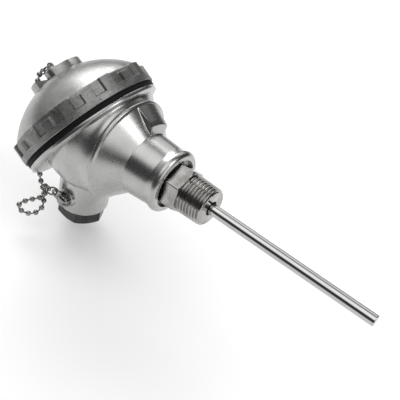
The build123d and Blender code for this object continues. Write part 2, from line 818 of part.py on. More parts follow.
block_back = floor_at - standoff_length
block_front = block_back - block_thickness
bar_front = block_front - bar_height
wire_level = block_front - bar_wire_height
for side, name in ((1, "positive_wire"), (-1, "negative_wire")):
    with BuildPart() as thermocouple_wire:
        with BuildLine() as wire_path:
            FilletPolyline(
                from_centre(junction_start, 0, side * wire_spacing / 2),
                from_centre(wire_level, 0, side * wire_spacing / 2),
                from_centre(wire_level, 0, side * (bar_spacing / 2 + 0.2)),
                radius=wire_bend_radius,
            )
        with BuildSketch(Plane(origin=wire_path.line @ 0, z_dir=wire_path.line % 0)):
            Circle(wire_radius)
        sweep()
    finish(thermocouple_wire, name)


# Terminal block, its standoffs and screws

with BuildPart() as terminal_block:
    with BuildSketch(plane_on_probe(block_front)):
        Circle(block_radius)
        Circle(block_bore_radius, mode=Mode.SUBTRACT)
        with Locations((0, block_screw_spacing / 2), (0, -block_screw_spacing / 2)):
            Circle(block_screw_radius + screw_clearance, mode=Mode.SUBTRACT)
    extrude(amount=block_thickness)
    block_rims = terminal_block.edges().filter_by(GeomType.CIRCLE).sort_by(SortBy.RADIUS)[-2:]
    chamfer(block_rims, 2 * rim_break)
finish(terminal_block, "terminal_block")

for side, name in ((1, "left"), (-1, "right")):
    screw_at = (0, side * block_screw_spacing / 2)
    with BuildPart() as block_standoff:
        with BuildSketch(plane_on_probe(block_back)):
            with Locations(screw_at):
                Circle(standoff_radius)
                Circle(block_screw_radius + screw_clearance, mode=Mode.SUBTRACT)
        extrude(amount=standoff_length)
    finish(block_standoff, "block_standoff_" + name)

    with BuildPart() as block_screw:
        with BuildSketch(plane_on_probe(block_front)):
            with Locations(screw_at):
                Circle(block_screw_head_radius)
        extrude(amount=-block_screw_head_height)
        with BuildSketch(plane_on_probe(block_front)):
            with Locations(screw_at):
                Circle(block_screw_radius)
        extrude(amount=block_thickness + standoff_length + block_screw_bite)
        with BuildSketch(plane_on_probe(block_front - block_screw_head_height)):
            with Locations(screw_at):
                Rectangle(2.2 * block_screw_head_radius, screw_slot_width)
        extrude(amount=screw_slot_depth, mode=Mode.SUBTRACT)
    finish(block_screw, "block_screw_" + name)

for side, name in ((1, "positive"), (-1, "negative")):
    bar_middle = (side * bar_spacing / 2, 0)
    screw_spots = [
        (side * bar_spacing / 2, way * terminal_screw_spacing / 2) for way in (1, -1)
    ]
    with BuildPart() as terminal_bar:
        with BuildSketch(plane_on_probe(block_front)):
            with Locations(bar_middle):
                Rectangle(bar_width, bar_length)
        extrude(amount=-bar_height)
        chamfer(terminal_bar.faces().sort_by(Axis.X)[0].edges(), rim_break)
        # Hole for the thermocouple wire, from the middle of the block
        with BuildSketch(Plane(origin=from_centre(wire_level, 0, 0), z_dir=(0, 0, side))):
            Circle(wire_radius + core_clearance)
        extrude(amount=bar_spacing / 2 + 0.2, mode=Mode.SUBTRACT)
        with BuildSketch(plane_on_probe(bar_front)):
            with Locations(*screw_spots):
                Circle(terminal_screw_radius + running_clearance)
        extrude(amount=bar_height - 1, mode=Mode.SUBTRACT)
    finish(terminal_bar, "terminal_bar_" + name)

    for spot, place in zip(screw_spots, ("a", "b")):
        with BuildPart() as terminal_screw:
            with BuildSketch(plane_on_probe(bar_front)):
                with Locations(spot):
                    Circle(terminal_screw_head_radius)
            extrude(amount=-terminal_screw_head_height)
            with BuildSketch(plane_on_probe(bar_front)):
                with Locations(spot):
                    Circle(terminal_screw_radius)
            extrude(amount=bar_height - 1.5)
            with BuildSketch(plane_on_probe(bar_front - terminal_screw_head_height)):
                with Locations(spot):
                    Rectangle(screw_slot_width, 2.2 * terminal_screw_head_radius)
            extrude(amount=screw_slot_depth, mode=Mode.SUBTRACT)
        finish(terminal_screw, "terminal_screw_" + name + "_" + place)
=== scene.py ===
"""Looks of a thermocouple probe: a cast head with a screw cap, a threaded nipple and a bare sheath.

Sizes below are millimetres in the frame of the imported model, and meshes are written in metres.
The three axes of probe, cap and stub meet in the head's centre.
"""

from __future__ import annotations

import logging
import math
from dataclasses import dataclass, field
from enum import Enum

import bmesh
import bpy
import numpy as np
from mathutils import Matrix, Vector


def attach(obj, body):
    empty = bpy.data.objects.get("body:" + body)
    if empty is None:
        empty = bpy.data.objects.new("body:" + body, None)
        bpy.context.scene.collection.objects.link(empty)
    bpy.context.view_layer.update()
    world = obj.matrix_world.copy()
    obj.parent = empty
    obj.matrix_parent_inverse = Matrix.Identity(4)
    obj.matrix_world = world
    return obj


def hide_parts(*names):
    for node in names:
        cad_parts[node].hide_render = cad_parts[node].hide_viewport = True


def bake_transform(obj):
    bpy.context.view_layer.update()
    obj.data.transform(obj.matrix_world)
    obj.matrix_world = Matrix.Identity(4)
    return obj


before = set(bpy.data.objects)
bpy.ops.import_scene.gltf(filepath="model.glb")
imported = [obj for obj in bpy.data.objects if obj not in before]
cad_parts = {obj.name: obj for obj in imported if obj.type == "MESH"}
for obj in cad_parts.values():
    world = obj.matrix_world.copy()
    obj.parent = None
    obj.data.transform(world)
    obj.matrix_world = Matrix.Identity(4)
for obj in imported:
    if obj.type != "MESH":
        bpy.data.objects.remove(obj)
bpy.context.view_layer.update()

LOG = logging.getLogger("thermocouple_probe")
MM = 0.001
TURN = 2 * math.pi
MERGE_DISTANCE = 2e-6
SHARP_ANGLE = math.radians(38)
HEAD_REACH = 65.5
# Threads: shares of half a pitch, slope of the end chamfers, and how far they cut below the root
CREST_FLAT = 0.14
FLANK_SHARE = 0.74
CHAMFER_SLOPE = 1.2
RUNOUT_DEPTH = 0.3
# Hexagons: degrees from a flat's middle, crowded at its corners, how much the corners lose, and how
# far outside them a row stands where only the flats and the cones cut it
FLAT_COLUMNS = (-30, -29.2, -28, -25, -20, -12, -4, 4, 12, 20, 25, 28, 29.2)
CORNER_BREAK = 0.12
ROW_EXCESS = 1
# A direction that no path follows, to stand a tube's circles on
OFF_PATH = (0.31, 0.17, 0.93)
HEAD_TILT = math.radians(30)
Array = np.ndarray


@dataclass(frozen=True)
class Axes:
    """A right-handed local frame: x and y span the section and z runs along the axis."""

    origin: tuple[float, float, float]
    x: tuple[float, float, float]
    z: tuple[float, float, float]

    def place(self, local: Array) -> Array:
        """Turn local points into points of the model.

        Args:
            local: points whose last axis holds x, y and z.

        Returns:
            The same array of points in the model's frame.
        """
        x_way, z_way = np.array(self.x), np.array(self.z)
        basis = np.stack([x_way, np.cross(z_way, x_way), z_way])
        return np.array(self.origin) + local @ basis

    def point(self, x: float, y: float, z: float) -> Array:
        """Return one local point in the model's frame."""
        return self.place(np.array([x, y, z], float))


HEAD = (-HEAD_REACH, 0.0, 0.0)
OUTWARD = (-math.cos(HEAD_TILT), 0.0, math.sin(HEAD_TILT))
ACROSS = (math.sin(HEAD_TILT), 0.0, math.cos(HEAD_TILT))
CAP_AXES = Axes(HEAD, ACROSS, OUTWARD)
PROBE_AXES = Axes(HEAD, (0.0, 0.0, 1.0), (1.0, 0.0, 0.0))
STUB_AXES = Axes(HEAD, (1.0, 0.0, 0.0), (0.0, 0.0, -1.0))


def smooth_step(value: Array, start: float, end: float) -> Array:
    """Rise from 0 at start to 1 at end by the cubic 3u^2 - 2u^3."""
    u = np.clip((value - start) / (end - start), 0, 1)
    return u * u * (3 - 2 * u)


def smooth_max(a: Array, b: Array, blend: float) -> Array:
    """Return the larger value, rounded where both are equal: (a + b + sqrt((a - b)^2 + k^2)) / 2."""
    return 0.5 * (a + b + np.sqrt((a - b) ** 2 + blend ** 2))


def rounded(corners: list[tuple[float, float]], radius: float = 0.4, steps: int = 4,
            closed: bool = True) -> Array:
    """Round the corners of an outline with short quadratic curves.

    Each corner P becomes (1-u)^2 A + 2u(1-u) P + u^2 B, where A and B lie a radius away along its sides,
    or 0.45 of a side that is shorter.

    Args:
        corners: the outline's corners in order.
        radius: distance from a corner to the curve's ends.
        steps: points on each curve.
        closed: whether the outline returns to its first corner.

    Returns:
        The rounded outline, with its first point repeated at the end when it is closed.
    """
    points = np.array(corners, float)
    before, after = np.roll(points, 1, axis=0) - points, np.roll(points, -1, axis=0) - points
    before_length = np.linalg.norm(before, axis=1, keepdims=True)
    after_length = np.linalg.norm(after, axis=1, keepdims=True)
    start = points + before / before_length * np.minimum(radius, 0.45 * before_length)
    end = points + after / after_length * np.minimum(radius, 0.45 * after_length)
    u = np.linspace(0, 1, steps)[None, :, None]
    curves = (1 - u) ** 2 * start[:, None] + 2 * u * (1 - u) * points[:, None] + u ** 2 * end[:, None]
    if closed:
        outline = curves.reshape(-1, 2)
        return np.vstack([outline, outline[:1]])
    return np.vstack([points[:1], curves[1:-1].reshape(-1, 2), points[-1:]])


def lathe(axes: Axes, radius: Array, height: Array, angles: Array) -> Array:
    """Surface of revolution whose radius and height may vary with the angle.

    A point is (r cos a, r sin a, h) in the local frame.

    Args:
        axes: the local frame.
        radius: rows by columns, or one value for each row.
        height: rows by columns, or one value for each row.
        angles: the columns' angles.

    Returns:
        Rows by columns by 3.
    """
    radius = np.broadcast_to(radius if radius.ndim == 2 else radius[:, None],
                             (radius.shape[0], angles.size))
    height = np.broadcast_to(height if height.ndim == 2 else height[:, None], radius.shape)
    local = np.stack([radius * np.cos(angles), radius * np.sin(angles), height], axis=-1)
    return axes.place(local)


def repeated(values: Array, columns: int) -> Array:
    """Give each row of a grid one value in all its columns."""
    return np.tile(np.reshape(values, (-1, 1)), columns)


def full_turn(segments: int) -> Array:
    """Angles of a full turn with both ends, which meet on one seam."""
    return np.linspace(0, TURN, segments + 1)


def turned(axes: Axes, profile: Array, segments: int = 96) -> Array:
    """Revolve a profile of radius and height about the local z axis."""
    return lathe(axes, profile[:, 0], profile[:, 1], full_turn(segments))


def carried(path: Array, radius: float, sides: int = 10) -> Array:
    """Tube along a path: a circle stands square to the path's own direction at each point.

    Args:
        path: points in order, the first repeated at the end of a ring.
        radius: the tube's radius.
        sides: sides of the circle.

    Returns:
        Rows by columns by 3.
    """
    ways = np.gradient(path, axis=0)
    if np.allclose(path[0], path[-1]):
        ways[0] = ways[-1] = path[1] - path[-2]
    ways /= np.linalg.norm(ways, axis=1, keepdims=True)
    first = np.cross(ways, np.array(OFF_PATH))
    first /= np.linalg.norm(first, axis=1, keepdims=True)
    second = np.cross(ways, first)
    angles = full_turn(sides)[None, :, None]
    return path[:, None] + radius * (np.cos(angles) * first[:, None] + np.sin(angles) * second[:, None])


def ring(axes: Axes, radius: float, wire: float, segments: int = 40, sides: int = 12) -> Array:
    """Torus about the local z axis: a circle of the wire's radius turned at the ring's radius."""
    around = full_turn(sides)
    return lathe(axes, radius + wire * np.cos(around), wire * np.sin(around), full_turn(segments))


def closed_tube(rows: Array) -> Array:
    """Close an open tube with one point at the middle of each end.

    Args:
        rows: rows by columns by 3.

    Returns:
        The same rows between two rows that lie in one point each.
    """
    first = np.broadcast_to(rows[0].mean(axis=0), rows[0].shape)
    last = np.broadcast_to(rows[-1].mean(axis=0), rows[-1].shape)
    return np.concatenate([first[None], rows, last[None]])


def helical(axes: Axes, start: float, end: float, pitch: float, depth: float, crest_start: float,
            crest_end: float, bore: float, chamfer: float = 0.6, segments: int = 84,
            rows_per_turn: int = 12) -> Array:
    """Thread whose rows follow its own helix, closed by end faces and a bore.

    Row q lies at h = start + q + pitch a / 2pi, held between start and end. The radius is the crest less
    the depth times a flat-topped triangle wave of (h / pitch - a / 2pi), under a cone at each end.

    Args:
        axes: the local frame.
        start: height of the first end face.
        end: height of the last end face.
        pitch: advance of one turn.
        depth: crest to root.
        crest_start: crest radius at the start.
        crest_end: crest radius at the end.
        bore: radius of the hole through it.
        chamfer: how far the ends taper in.
        segments: columns round the thread.
        rows_per_turn: rows in one pitch.

    Returns:
        Rows by columns by 3, a closed ring.
    """
    angles = full_turn(segments)
    steps = np.arange(-rows_per_turn, math.ceil((end - start) / pitch * rows_per_turn) + 1)
    height = np.clip(start + steps[:, None] * pitch / rows_per_turn + pitch * angles / TURN, start, end)
    phase = np.mod(height / pitch - angles / TURN - start / pitch, 1)
    wave = np.clip((1 - np.abs(2 * phase - 1) - CREST_FLAT) / FLANK_SHARE, 0, 1)
    crest = crest_start + (crest_end - crest_start) * (height - start) / (end - start)
    cone = crest - chamfer + np.minimum(height - start, end - height) * CHAMFER_SLOPE
    radius = np.minimum(crest - depth * wave, np.maximum(cone, crest - depth - RUNOUT_DEPTH))
    bore_height = np.array([end, start])
    radius = np.vstack([np.full(angles.size, bore), radius, np.full((2, angles.size), bore)])
    height = np.vstack([np.full(angles.size, start), height,
                        np.broadcast_to(bore_height[:, None], (2, angles.size))])
    return lathe(axes, radius, height, angles)


def hexagon(axes: Axes, profile: Array, flats: float, corner_angle: float, cone: Array) -> Array:
    """Hexagonal bar turned to a profile.

    The radius is the smallest of the profile, the hexagon's own f / cos(a - nearest flat) and the cone
    that breaks its corners.

    Args:
        axes: the local frame.
        profile: rows of radius and height.
        flats: width across flats.
        corner_angle: angle of one corner.
        cone: for each row, the radius of the turned chamfer.

    Returns:
        Rows by columns by 3.
    """
    flat_middle = corner_angle + 30 + 60 * np.arange(6)
    columns = flat_middle[:, None] + np.array(FLAT_COLUMNS)
    angles = np.radians(np.append(columns.ravel(), corner_angle + 360))
    off_flat = np.mod(np.degrees(angles) - corner_angle, 60) - 30
    edge = flats / 2 / np.cos(np.radians(off_flat))
    edge = np.minimum(edge, flats / math.sqrt(3) - CORNER_BREAK)
    radius = np.minimum(np.minimum(profile[:, :1], edge), cone[:, None])
    return lathe(axes, radius, profile[:, 1], angles)


def place_object(name: str, data: bpy.types.ID) -> bpy.types.Object:
    """Put a new object into the scene.

    Args:
        name: the object's name.
        data: its mesh, lamp or camera.

    Returns:
        The new object at the origin.
    """
    placed = bpy.data.objects.new(name, data)
    bpy.context.scene.collection.objects.link(placed)
    return placed


def build_mesh(name: str, surfaces: list[Array]) -> bpy.types.Object:
    """Join grids of points into one closed, outward-facing mesh.

    Neighbouring rows and columns are joined by quads, doubles are merged, faces that lost their area
    are dropped and the normals are recalculated.

    Args:
        name: the piece's name.
        surfaces: grids of points in millimetres.

    Returns:
        The new object at the origin.
    """
    corners, quads, first = [], [], 0
    for grid in surfaces:
        rows, columns = grid.shape[:2]
        index = first + np.arange(rows * columns).reshape(rows, columns)
        quads.append(np.stack([index[:-1, :-1], index[:-1, 1:], index[1:, 1:], index[1:, :-1]], -1)
                     .reshape(-1, 4))
        corners.append(grid.reshape(-1, 3) * MM)
        first += rows * columns
    mesh = bpy.data.meshes.new(name)
    mesh.from_pydata(np.vstack(corners).tolist(), [], np.vstack(quads).tolist())
    work = bmesh.new()
    work.from_mesh(mesh)
    bmesh.ops.remove_doubles(work, verts=work.verts, dist=MERGE_DISTANCE)
    bmesh.ops.dissolve_degenerate(work, edges=work.edges, dist=MERGE_DISTANCE)
    loose = [vertex for vertex in work.verts if not vertex.link_faces]
    bmesh.ops.delete(work, geom=loose, context="VERTS")
    bmesh.ops.recalc_face_normals(work, faces=work.faces)
    work.to_mesh(mesh)
    work.free()
    mesh.shade_smooth()
    mesh.set_sharp_from_angle(angle=SHARP_ANGLE)
    return place_object(name, mesh)


class Graph:
    """The nodes of a material or the world, added in few words."""

    def __init__(self, tree: bpy.types.NodeTree) -> None:
        """Keep the node tree."""
        self.tree = tree

    def fill(self, node: bpy.types.Node, inputs: dict[str | int, object]) -> None:
        """Fill a node's inputs: a socket is linked, and anything else becomes the value.

        Args:
            node: the node.
            inputs: what goes into each input, by its name or number.
        """
        for key, value in inputs.items():
            if isinstance(value, bpy.types.NodeSocket):
                self.tree.links.new(value, node.inputs[key])
            else:
                node.inputs[key].default_value = value

    def add(self, kind: str, inputs: dict[str | int, object], output: str | int = 0,
            **options: str) -> bpy.types.NodeSocket:
        """Add a shader node.

        Args:
            kind: the node's type, without the word ShaderNode.
            inputs: what goes into each input.
            output: the output that is used.
            options: the node's own options.

        Returns:
            That output.
        """
        node = self.tree.nodes.new("ShaderNode" + kind)
        for name, value in options.items():
            setattr(node, name, value)
        self.fill(node, inputs)
        return node.outputs[output]

    def math(self, operation: str, *values: object) -> bpy.types.NodeSocket:
        """Add a Math node on two or three values."""
        return self.add("Math", dict(enumerate(values)), operation=operation)

    def ramp(self, value: bpy.types.NodeSocket, low: float, high: float,
             colours: tuple[tuple[float, float, float], ...] = ()) -> bpy.types.NodeSocket:
        """Add a ramp between two positions.

        Args:
            value: what is looked up.
            low: position of the first colour.
            high: position of the second colour.
            colours: the two colours, or none for black and white.

        Returns:
            The colour.
        """
        colour = self.add("ValToRGB", {"Fac": value}, "Color")
        elements = colour.node.color_ramp.elements
        elements[0].position, elements[1].position = low, high
        for element, shade in zip(elements, colours):
            element.color = (*shade, 1)
        return colour


class Grain(Enum):
    """How the fine noise lies on a surface."""

    EVEN = "even"
    TURNED = "turned"


@dataclass(frozen=True)
class Noise:
    """One layer of noise.

    Attributes:
        density: features on each length of grain.
        octaves: detail.
        weight: weight of the fine octaves.
    """

    density: float
    octaves: float
    weight: float


FINE = Noise(1.0, 5.0, 0.62)
BROAD = Noise(0.1, 3.0, 0.5)
PITS = Noise(1.6, 2.0, 0.5)
FINE_SHARE = 0.55
MOTTLE_RANGE = (0.55, 1.0)
ROUGH_RANGE = (0.3, 0.7)
PIT_LEVEL = 0.30
PIT_SOFTNESS = 0.2
AROUND_SHARE = 0.04


@dataclass(frozen=True)
class Finish:
    """A surface finish, written as a procedural material.

    Attributes:
        name: the material's name.
        colour: linear base colour.
        shade: darker or warmer colour that the noise mixes in.
        metallic: 1 for bare metal.
        roughness: lowest roughness.
        roughness_spread: how much the noise adds.
        grain: how the fine noise lies.
        grain_size: size of the grain in metres.
        bump: height of the grain in metres.
        speck: share of fine dark pits.
        specular: strength of the plain reflection, which only rubber changes.
        axes: the frame of the turned lines.
    """

    name: str
    colour: tuple[float, float, float]
    shade: tuple[float, float, float]
    metallic: float = 1.0
    roughness: float = 0.3
    roughness_spread: float = 0.15
    grain: Grain = Grain.EVEN
    grain_size: float = 0.0008
    bump: float = 0.00003
    speck: float = 0.0
    specular: float = 0.5
    axes: Axes = PROBE_AXES

    def material(self) -> bpy.types.Material:
        """Return the material, made once for each name."""
        return bpy.data.materials.get(self.name) or self._make()

    def _make(self) -> bpy.types.Material:
        """Build the nodes: fine and broad noise mix the colours, and the fine one adds relief.

        Returns:
            The new material.
        """
        material = bpy.data.materials.new(self.name)
        material.use_nodes = True
        graph = Graph(material.node_tree)
        vector = graph.add("TexCoord", {}, "Object")
        grain_vector = self._turned(graph, vector) if self.grain is Grain.TURNED else vector
        fine = self._noise(graph, grain_vector, FINE)
        broad = self._noise(graph, vector, BROAD)
        mottle = graph.math("MULTIPLY_ADD", fine, FINE_SHARE, broad)
        colour = graph.ramp(mottle, *MOTTLE_RANGE, (self.shade, self.colour))
        if self.speck:
            pits = self._noise(graph, vector, PITS)
            mask = graph.ramp(pits, PIT_LEVEL, PIT_LEVEL + PIT_SOFTNESS * self.speck)
            colour = graph.add("Mix", {"Factor": self.speck, 6: colour, 7: mask}, 2,
                               data_type="RGBA", blend_type="MULTIPLY")
        rough = graph.add("MapRange", {
            "Value": fine, "From Min": ROUGH_RANGE[0], "From Max": ROUGH_RANGE[1],
            "To Min": self.roughness, "To Max": self.roughness + self.roughness_spread}, "Result")
        normal = graph.add("Bump", {"Strength": 1.0, "Distance": self.bump, "Height": fine}, "Normal")
        graph.fill(graph.tree.nodes["Principled BSDF"], {
            "Metallic": self.metallic, "Specular IOR Level": self.specular, "Base Color": colour,
            "Roughness": rough, "Normal": normal})
        return material

    def _noise(self, graph: Graph, vector: bpy.types.NodeSocket, layer: Noise) -> bpy.types.NodeSocket:
        """Add one layer of noise at this finish's grain size."""
        return graph.add("TexNoise", {
            "Vector": vector, "Scale": layer.density / self.grain_size, "Detail": layer.octaves,
            "Roughness": layer.weight}, "Fac")

    def _turned(self, graph: Graph, vector: bpy.types.NodeSocket) -> bpy.types.NodeSocket:
        """Coordinates that draw a noise out round the axis.

        They are the distance off the axis, a small share of the local x, and the height along the axis.

        Args:
            graph: the material's nodes.
            vector: object coordinates.

        Returns:
            The vector socket.
        """
        x_way, z_way = Vector(self.axes.x), Vector(self.axes.z)
        turn = Matrix((x_way, z_way.cross(x_way), z_way))
        local = graph.add("Mapping", {
            "Vector": vector, "Rotation": turn.to_euler(),
            "Location": -(turn @ (Vector(self.axes.origin) * MM))}, "Vector")
        x, y, z = graph.add("SeparateXYZ", {"Vector": local}).node.outputs
        flat = graph.add("CombineXYZ", {"X": x, "Y": y})
        off_axis = graph.add("VectorMath", {0: flat}, "Value", operation="LENGTH")
        around = graph.math("MULTIPLY", x, AROUND_SHARE)
        return graph.add("CombineXYZ", {"X": off_axis, "Y": around, "Z": z})


CAST = Finish("blasted_casting", (0.48, 0.48, 0.473), (0.41, 0.41, 0.404), roughness=0.23,
              roughness_spread=0.07, grain_size=0.0009, bump=0.000016, speck=0.1)
CAP_CAST = Finish("blasted_cap", (0.44, 0.44, 0.433), (0.31, 0.31, 0.304), roughness=0.25,
                  roughness_spread=0.16, grain_size=0.001, bump=0.00005, speck=0.4)
SKIRT_CAST = Finish("coarse_skirt", (0.36, 0.36, 0.354), (0.18, 0.18, 0.176), roughness=0.34,
                    roughness_spread=0.2, grain_size=0.0012, bump=0.00014, speck=0.6)
# The gland nut is aluminium: its near-black colour and darker noise tone are painted shade, not the metal's
# own colour
GLAND_PAINTED_SHADE = Finish("milled_gland_painted_shade", (0.085, 0.085, 0.084), (0.045, 0.045, 0.044), roughness=0.25,
                  grain=Grain.TURNED, grain_size=0.0006, bump=0.00002, axes=STUB_AXES)
STAINLESS = Finish("turned_stainless_skin", (0.50, 0.49, 0.475), (0.25, 0.245, 0.235), roughness=0.13,
                   roughness_spread=0.1, grain=Grain.TURNED, grain_size=0.0008, bump=0.00002, speck=0.15)
TUBE = Finish("drawn_tube_skin", (0.55, 0.55, 0.545), (0.49, 0.49, 0.485), roughness=0.09,
              roughness_spread=0.04, grain_size=0.0012, bump=0.000004)
PLATED = Finish("bright_plating_skin", (0.38, 0.375, 0.365), (0.20, 0.197, 0.19), roughness=0.11,
                roughness_spread=0.08, grain_size=0.0005, bump=0.000008)
RUBBER = Finish("moulded_rubber_skin", (0.010, 0.010, 0.010), (0.004, 0.004, 0.004), metallic=0.0,
                roughness=0.55, roughness_spread=0.2, grain_size=0.0004, bump=0.00003, specular=0.15)
CERAMIC = Finish("glazed_ceramic_skin", (0.82, 0.79, 0.72), (0.70, 0.67, 0.60), metallic=0.0,
                 roughness=0.18, roughness_spread=0.1, grain_size=0.001, bump=0.00002)
BRASS = Finish("machined_brass_skin", (0.70, 0.50, 0.22), (0.46, 0.31, 0.12), roughness=0.22,
               grain=Grain.TURNED, grain_size=0.0005, bump=0.00002)
ALLOY = Finish("drawn_wire_skin", (0.42, 0.41, 0.40), (0.26, 0.25, 0.24), roughness=0.3,
               grain_size=0.0004, bump=0.00001)


def finish_piece(piece: bpy.types.Object, finish: Finish, body: str, slot: str,
                 *nodes: str) -> bpy.types.Object:
    """Dress a finished piece and tie it to its body.

    Args:
        piece: the new object.
        finish: its surface.
        body: the body that carries it.
        slot: the record's material slot; not used.
        nodes: the solids that it stands for.

    Returns:
        The same object.
    """
    piece.data.materials.append(finish.material())
    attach(piece, body)
    if nodes:
        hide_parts(*nodes)
    LOG.info("%s: %d faces on %s", piece.name, len(piece.data.polygons), body)
    return piece


@dataclass
class ConnectionHead:
    """The hollow casting: flange, spigot, oblique barrel, cone, neck, cast pad and conduit stub."""

    flange_radius: float = 39.0
    flange_edge: float = 1.9
    flange_under: float = 3.0
    flange_draft: float = 2.2
    spigot_radius: float = 35.5
    spigot_bore: float = 31.8
    spigot_height: float = 9.5
    spigot_pitch: float = 2.5
    spigot_thread_depth: float = 1.0
    barrel_radius: float = 28.3
    cavity_radius: float = 25.3
    bulge_radius: float = 33.0
    bulge_along: float = 7.83
    bulge_up: float = 3.56
    shoulder_at: float = 24.8
    bead_radius: float = 28.9
    cone_end_at: float = 36.4
    neck_radius: float = 17.4
    neck_waist: float = 16.4
    lip_start: float = 50.5
    lip_crest_at: float = 54.2
    lip_face_radius: float = 15.6
    neck_end: float = 57.0
    floor_at: float = 21.8
    passage_radius: float = 8.0
    thread_bore: float = 10.8
    thread_from: float = 41.0
    lip_bore: float = 13.7
    lip_bore_depth: float = 3.0
    pad_from: float = 3.0
    pad_to: float = 42.0
    pad_rear_radius: float = 28.0
    pad_front_radius: float = 22.0
    stub_radius: float = 14.15
    stub_end: float = 50.9
    stub_fillet: float = 4.5
    stub_bore: float = 10.45
    stub_passage: float = 7.5
    stub_seat: float = 37.9
    stub_root: float = 24.0
    stub_from: float = 33.2
    stub_lift: float = 0.5
    boss_radius: float = 5.1
    boss_face: float = 15.35
    boss_depth: float = 4.0
    boss_drop: float = 42.0
    boss_spread: float = 0.5
    clip_height: float = -1.5
    spigot_foot: float = -1.0
    spigot_chamfer: float = 0.8
    bulge_blend: float = 1.6
    bulge_fade: float = 10.5
    pad_edge: float = 1.2
    settling_rounds: int = 12
    gasket_bore: float = 35.65
    gasket_radius: float = 39.1
    gasket_bottom: float = 0.02
    gasket_top: float = 2.78

    def outer_line(self) -> Array:
        """Stations and radii of the turned outside, from inside the barrel to the lip.

        Returns:
            Rows of distance along the probe and radius.
        """
        lines = rounded([
            (self.shoulder_at - 6, self.barrel_radius), (self.shoulder_at - 2.2, self.barrel_radius),
            (self.shoulder_at - 1.9, self.bead_radius), (self.shoulder_at - 0.3, self.bead_radius),
            (self.shoulder_at + 0.4, self.barrel_radius - 0.8),
            (self.cone_end_at - 0.1, self.neck_radius + 0.25), (self.cone_end_at + 0.2, self.neck_radius),
            (self.lip_start, self.neck_waist), (self.lip_start + 2.2, self.neck_waist + 0.5),
            (self.lip_crest_at, self.neck_radius + 0.05), (self.neck_end - 1.1, self.neck_radius - 0.3),
            (self.neck_end - 0.05, self.lip_face_radius + 0.4), (self.neck_end, self.lip_face_radius),
        ], radius=0.7, steps=4, closed=False)
        gaps = np.linspace(0, 1, 5)[:-1]
        between = lines[:-1, None] + gaps[None, :, None] * np.diff(lines, axis=0)[:, None]
        return np.vstack([between.reshape(-1, 2), lines[-1:]])

    def outside(self, along: Array, angle: Array, turned_radius: Array) -> Array:
        """Outer radius of the casting about the probe's axis.

        The turned profile is joined with the round bulge, c z + sqrt((c z)^2 + R^2 - z^2 - (s - s0)^2),
        which fades out before the shoulder, and with the cast pad on the cone.

        Args:
            along: distance from the head's centre.
            angle: angle from the top.
            turned_radius: radius of the turned profile.

        Returns:
            The radius at each point.
        """
        lean = np.cos(angle) * self.bulge_up
        inside = lean ** 2 + self.bulge_radius ** 2 - self.bulge_up ** 2 - (along - self.bulge_along) ** 2
        bulge = lean + np.sqrt(np.maximum(inside, 1.0))
        joined = smooth_max(turned_radius, bulge, self.bulge_blend)
        share = 1 - smooth_step(along, self.bulge_fade, self.shoulder_at - 2.2)
        radius = turned_radius + (joined - turned_radius) * share
        degrees = np.degrees(angle)
        edge = self.pad_edge
        span = smooth_step(degrees, self.pad_from - edge, self.pad_from + edge) - smooth_step(
            degrees, self.pad_to - edge, self.pad_to + edge)
        slope = (self.pad_front_radius - self.pad_rear_radius) / (self.cone_end_at - self.shoulder_at)
        pad = self.pad_rear_radius + slope * (along - self.shoulder_at)
        ends = smooth_step(along, self.shoulder_at - 0.4, self.shoulder_at) - smooth_step(
            along, self.cone_end_at - 0.6, self.cone_end_at + 0.4)
        return radius + np.maximum(pad - radius, 0) * span * ends

    def shell(self) -> Array:
        """Barrel, cone, neck and chamber as one closed ring of rows.

        Each column starts where its own radius meets the middle of the flange, s = (z sin t - h) / cos t,
        runs out to the lip, and comes back along the bores to the chamber's wall.

        Returns:
            Rows by columns by 3.
        """
        coarse = np.arange(0, 360.1, 3.0)
        pad_edges = np.concatenate([np.linspace(edge - 1.6, edge + 1.6, 9)
                                    for edge in (self.pad_from, self.pad_to)])
        angles = np.radians(np.union1d(coarse, np.concatenate([pad_edges, [0, 360]])))
        angles = angles[(angles >= 0) & (angles <= TURN)]
        line = self.outer_line()
        up = np.cos(angles)
        barrel = np.full(angles.size, self.barrel_radius)
        start = np.zeros(angles.size)
        reach = barrel.copy()
        for _ in range(self.settling_rounds):
            start = 0.5 * start + 0.5 * (reach * up * math.sin(HEAD_TILT) - self.clip_height) / math.cos(
                HEAD_TILT)
            reach = self.outside(start, angles, barrel)
        share = np.linspace(0, 1, 26)[:-1, None]
        rear = start + share * (line[0, 0] - start)
        along = np.vstack([rear, repeated(line[:, 0], angles.size)])
        profile = np.vstack([np.full(rear.shape, self.barrel_radius), repeated(line[:, 1], angles.size)])
        radius = self.outside(along, angles, profile)
        inner = rounded([
            (self.neck_end, self.lip_bore), (self.neck_end - self.lip_bore_depth, self.lip_bore),
            (self.neck_end - self.lip_bore_depth, self.thread_bore), (self.thread_from, self.thread_bore),
            (self.thread_from, self.passage_radius), (self.floor_at, self.passage_radius),
            (self.floor_at, self.cavity_radius), (self.floor_at - 2, self.cavity_radius),
        ], radius=0.3, steps=3, closed=False)
        mouth = (self.cavity_radius * up * math.sin(HEAD_TILT) - self.clip_height) / math.cos(HEAD_TILT)
        along = np.vstack([along, repeated(inner[:, 0], angles.size), mouth, along[:1]])
        radius = np.vstack([radius, repeated(inner[:, 1], angles.size),
                            np.full(angles.size, self.cavity_radius), radius[:1]])
        # The local frame turns from the top towards -Y, so the angle is taken the other way
        return lathe(PROBE_AXES, radius, along, -angles)

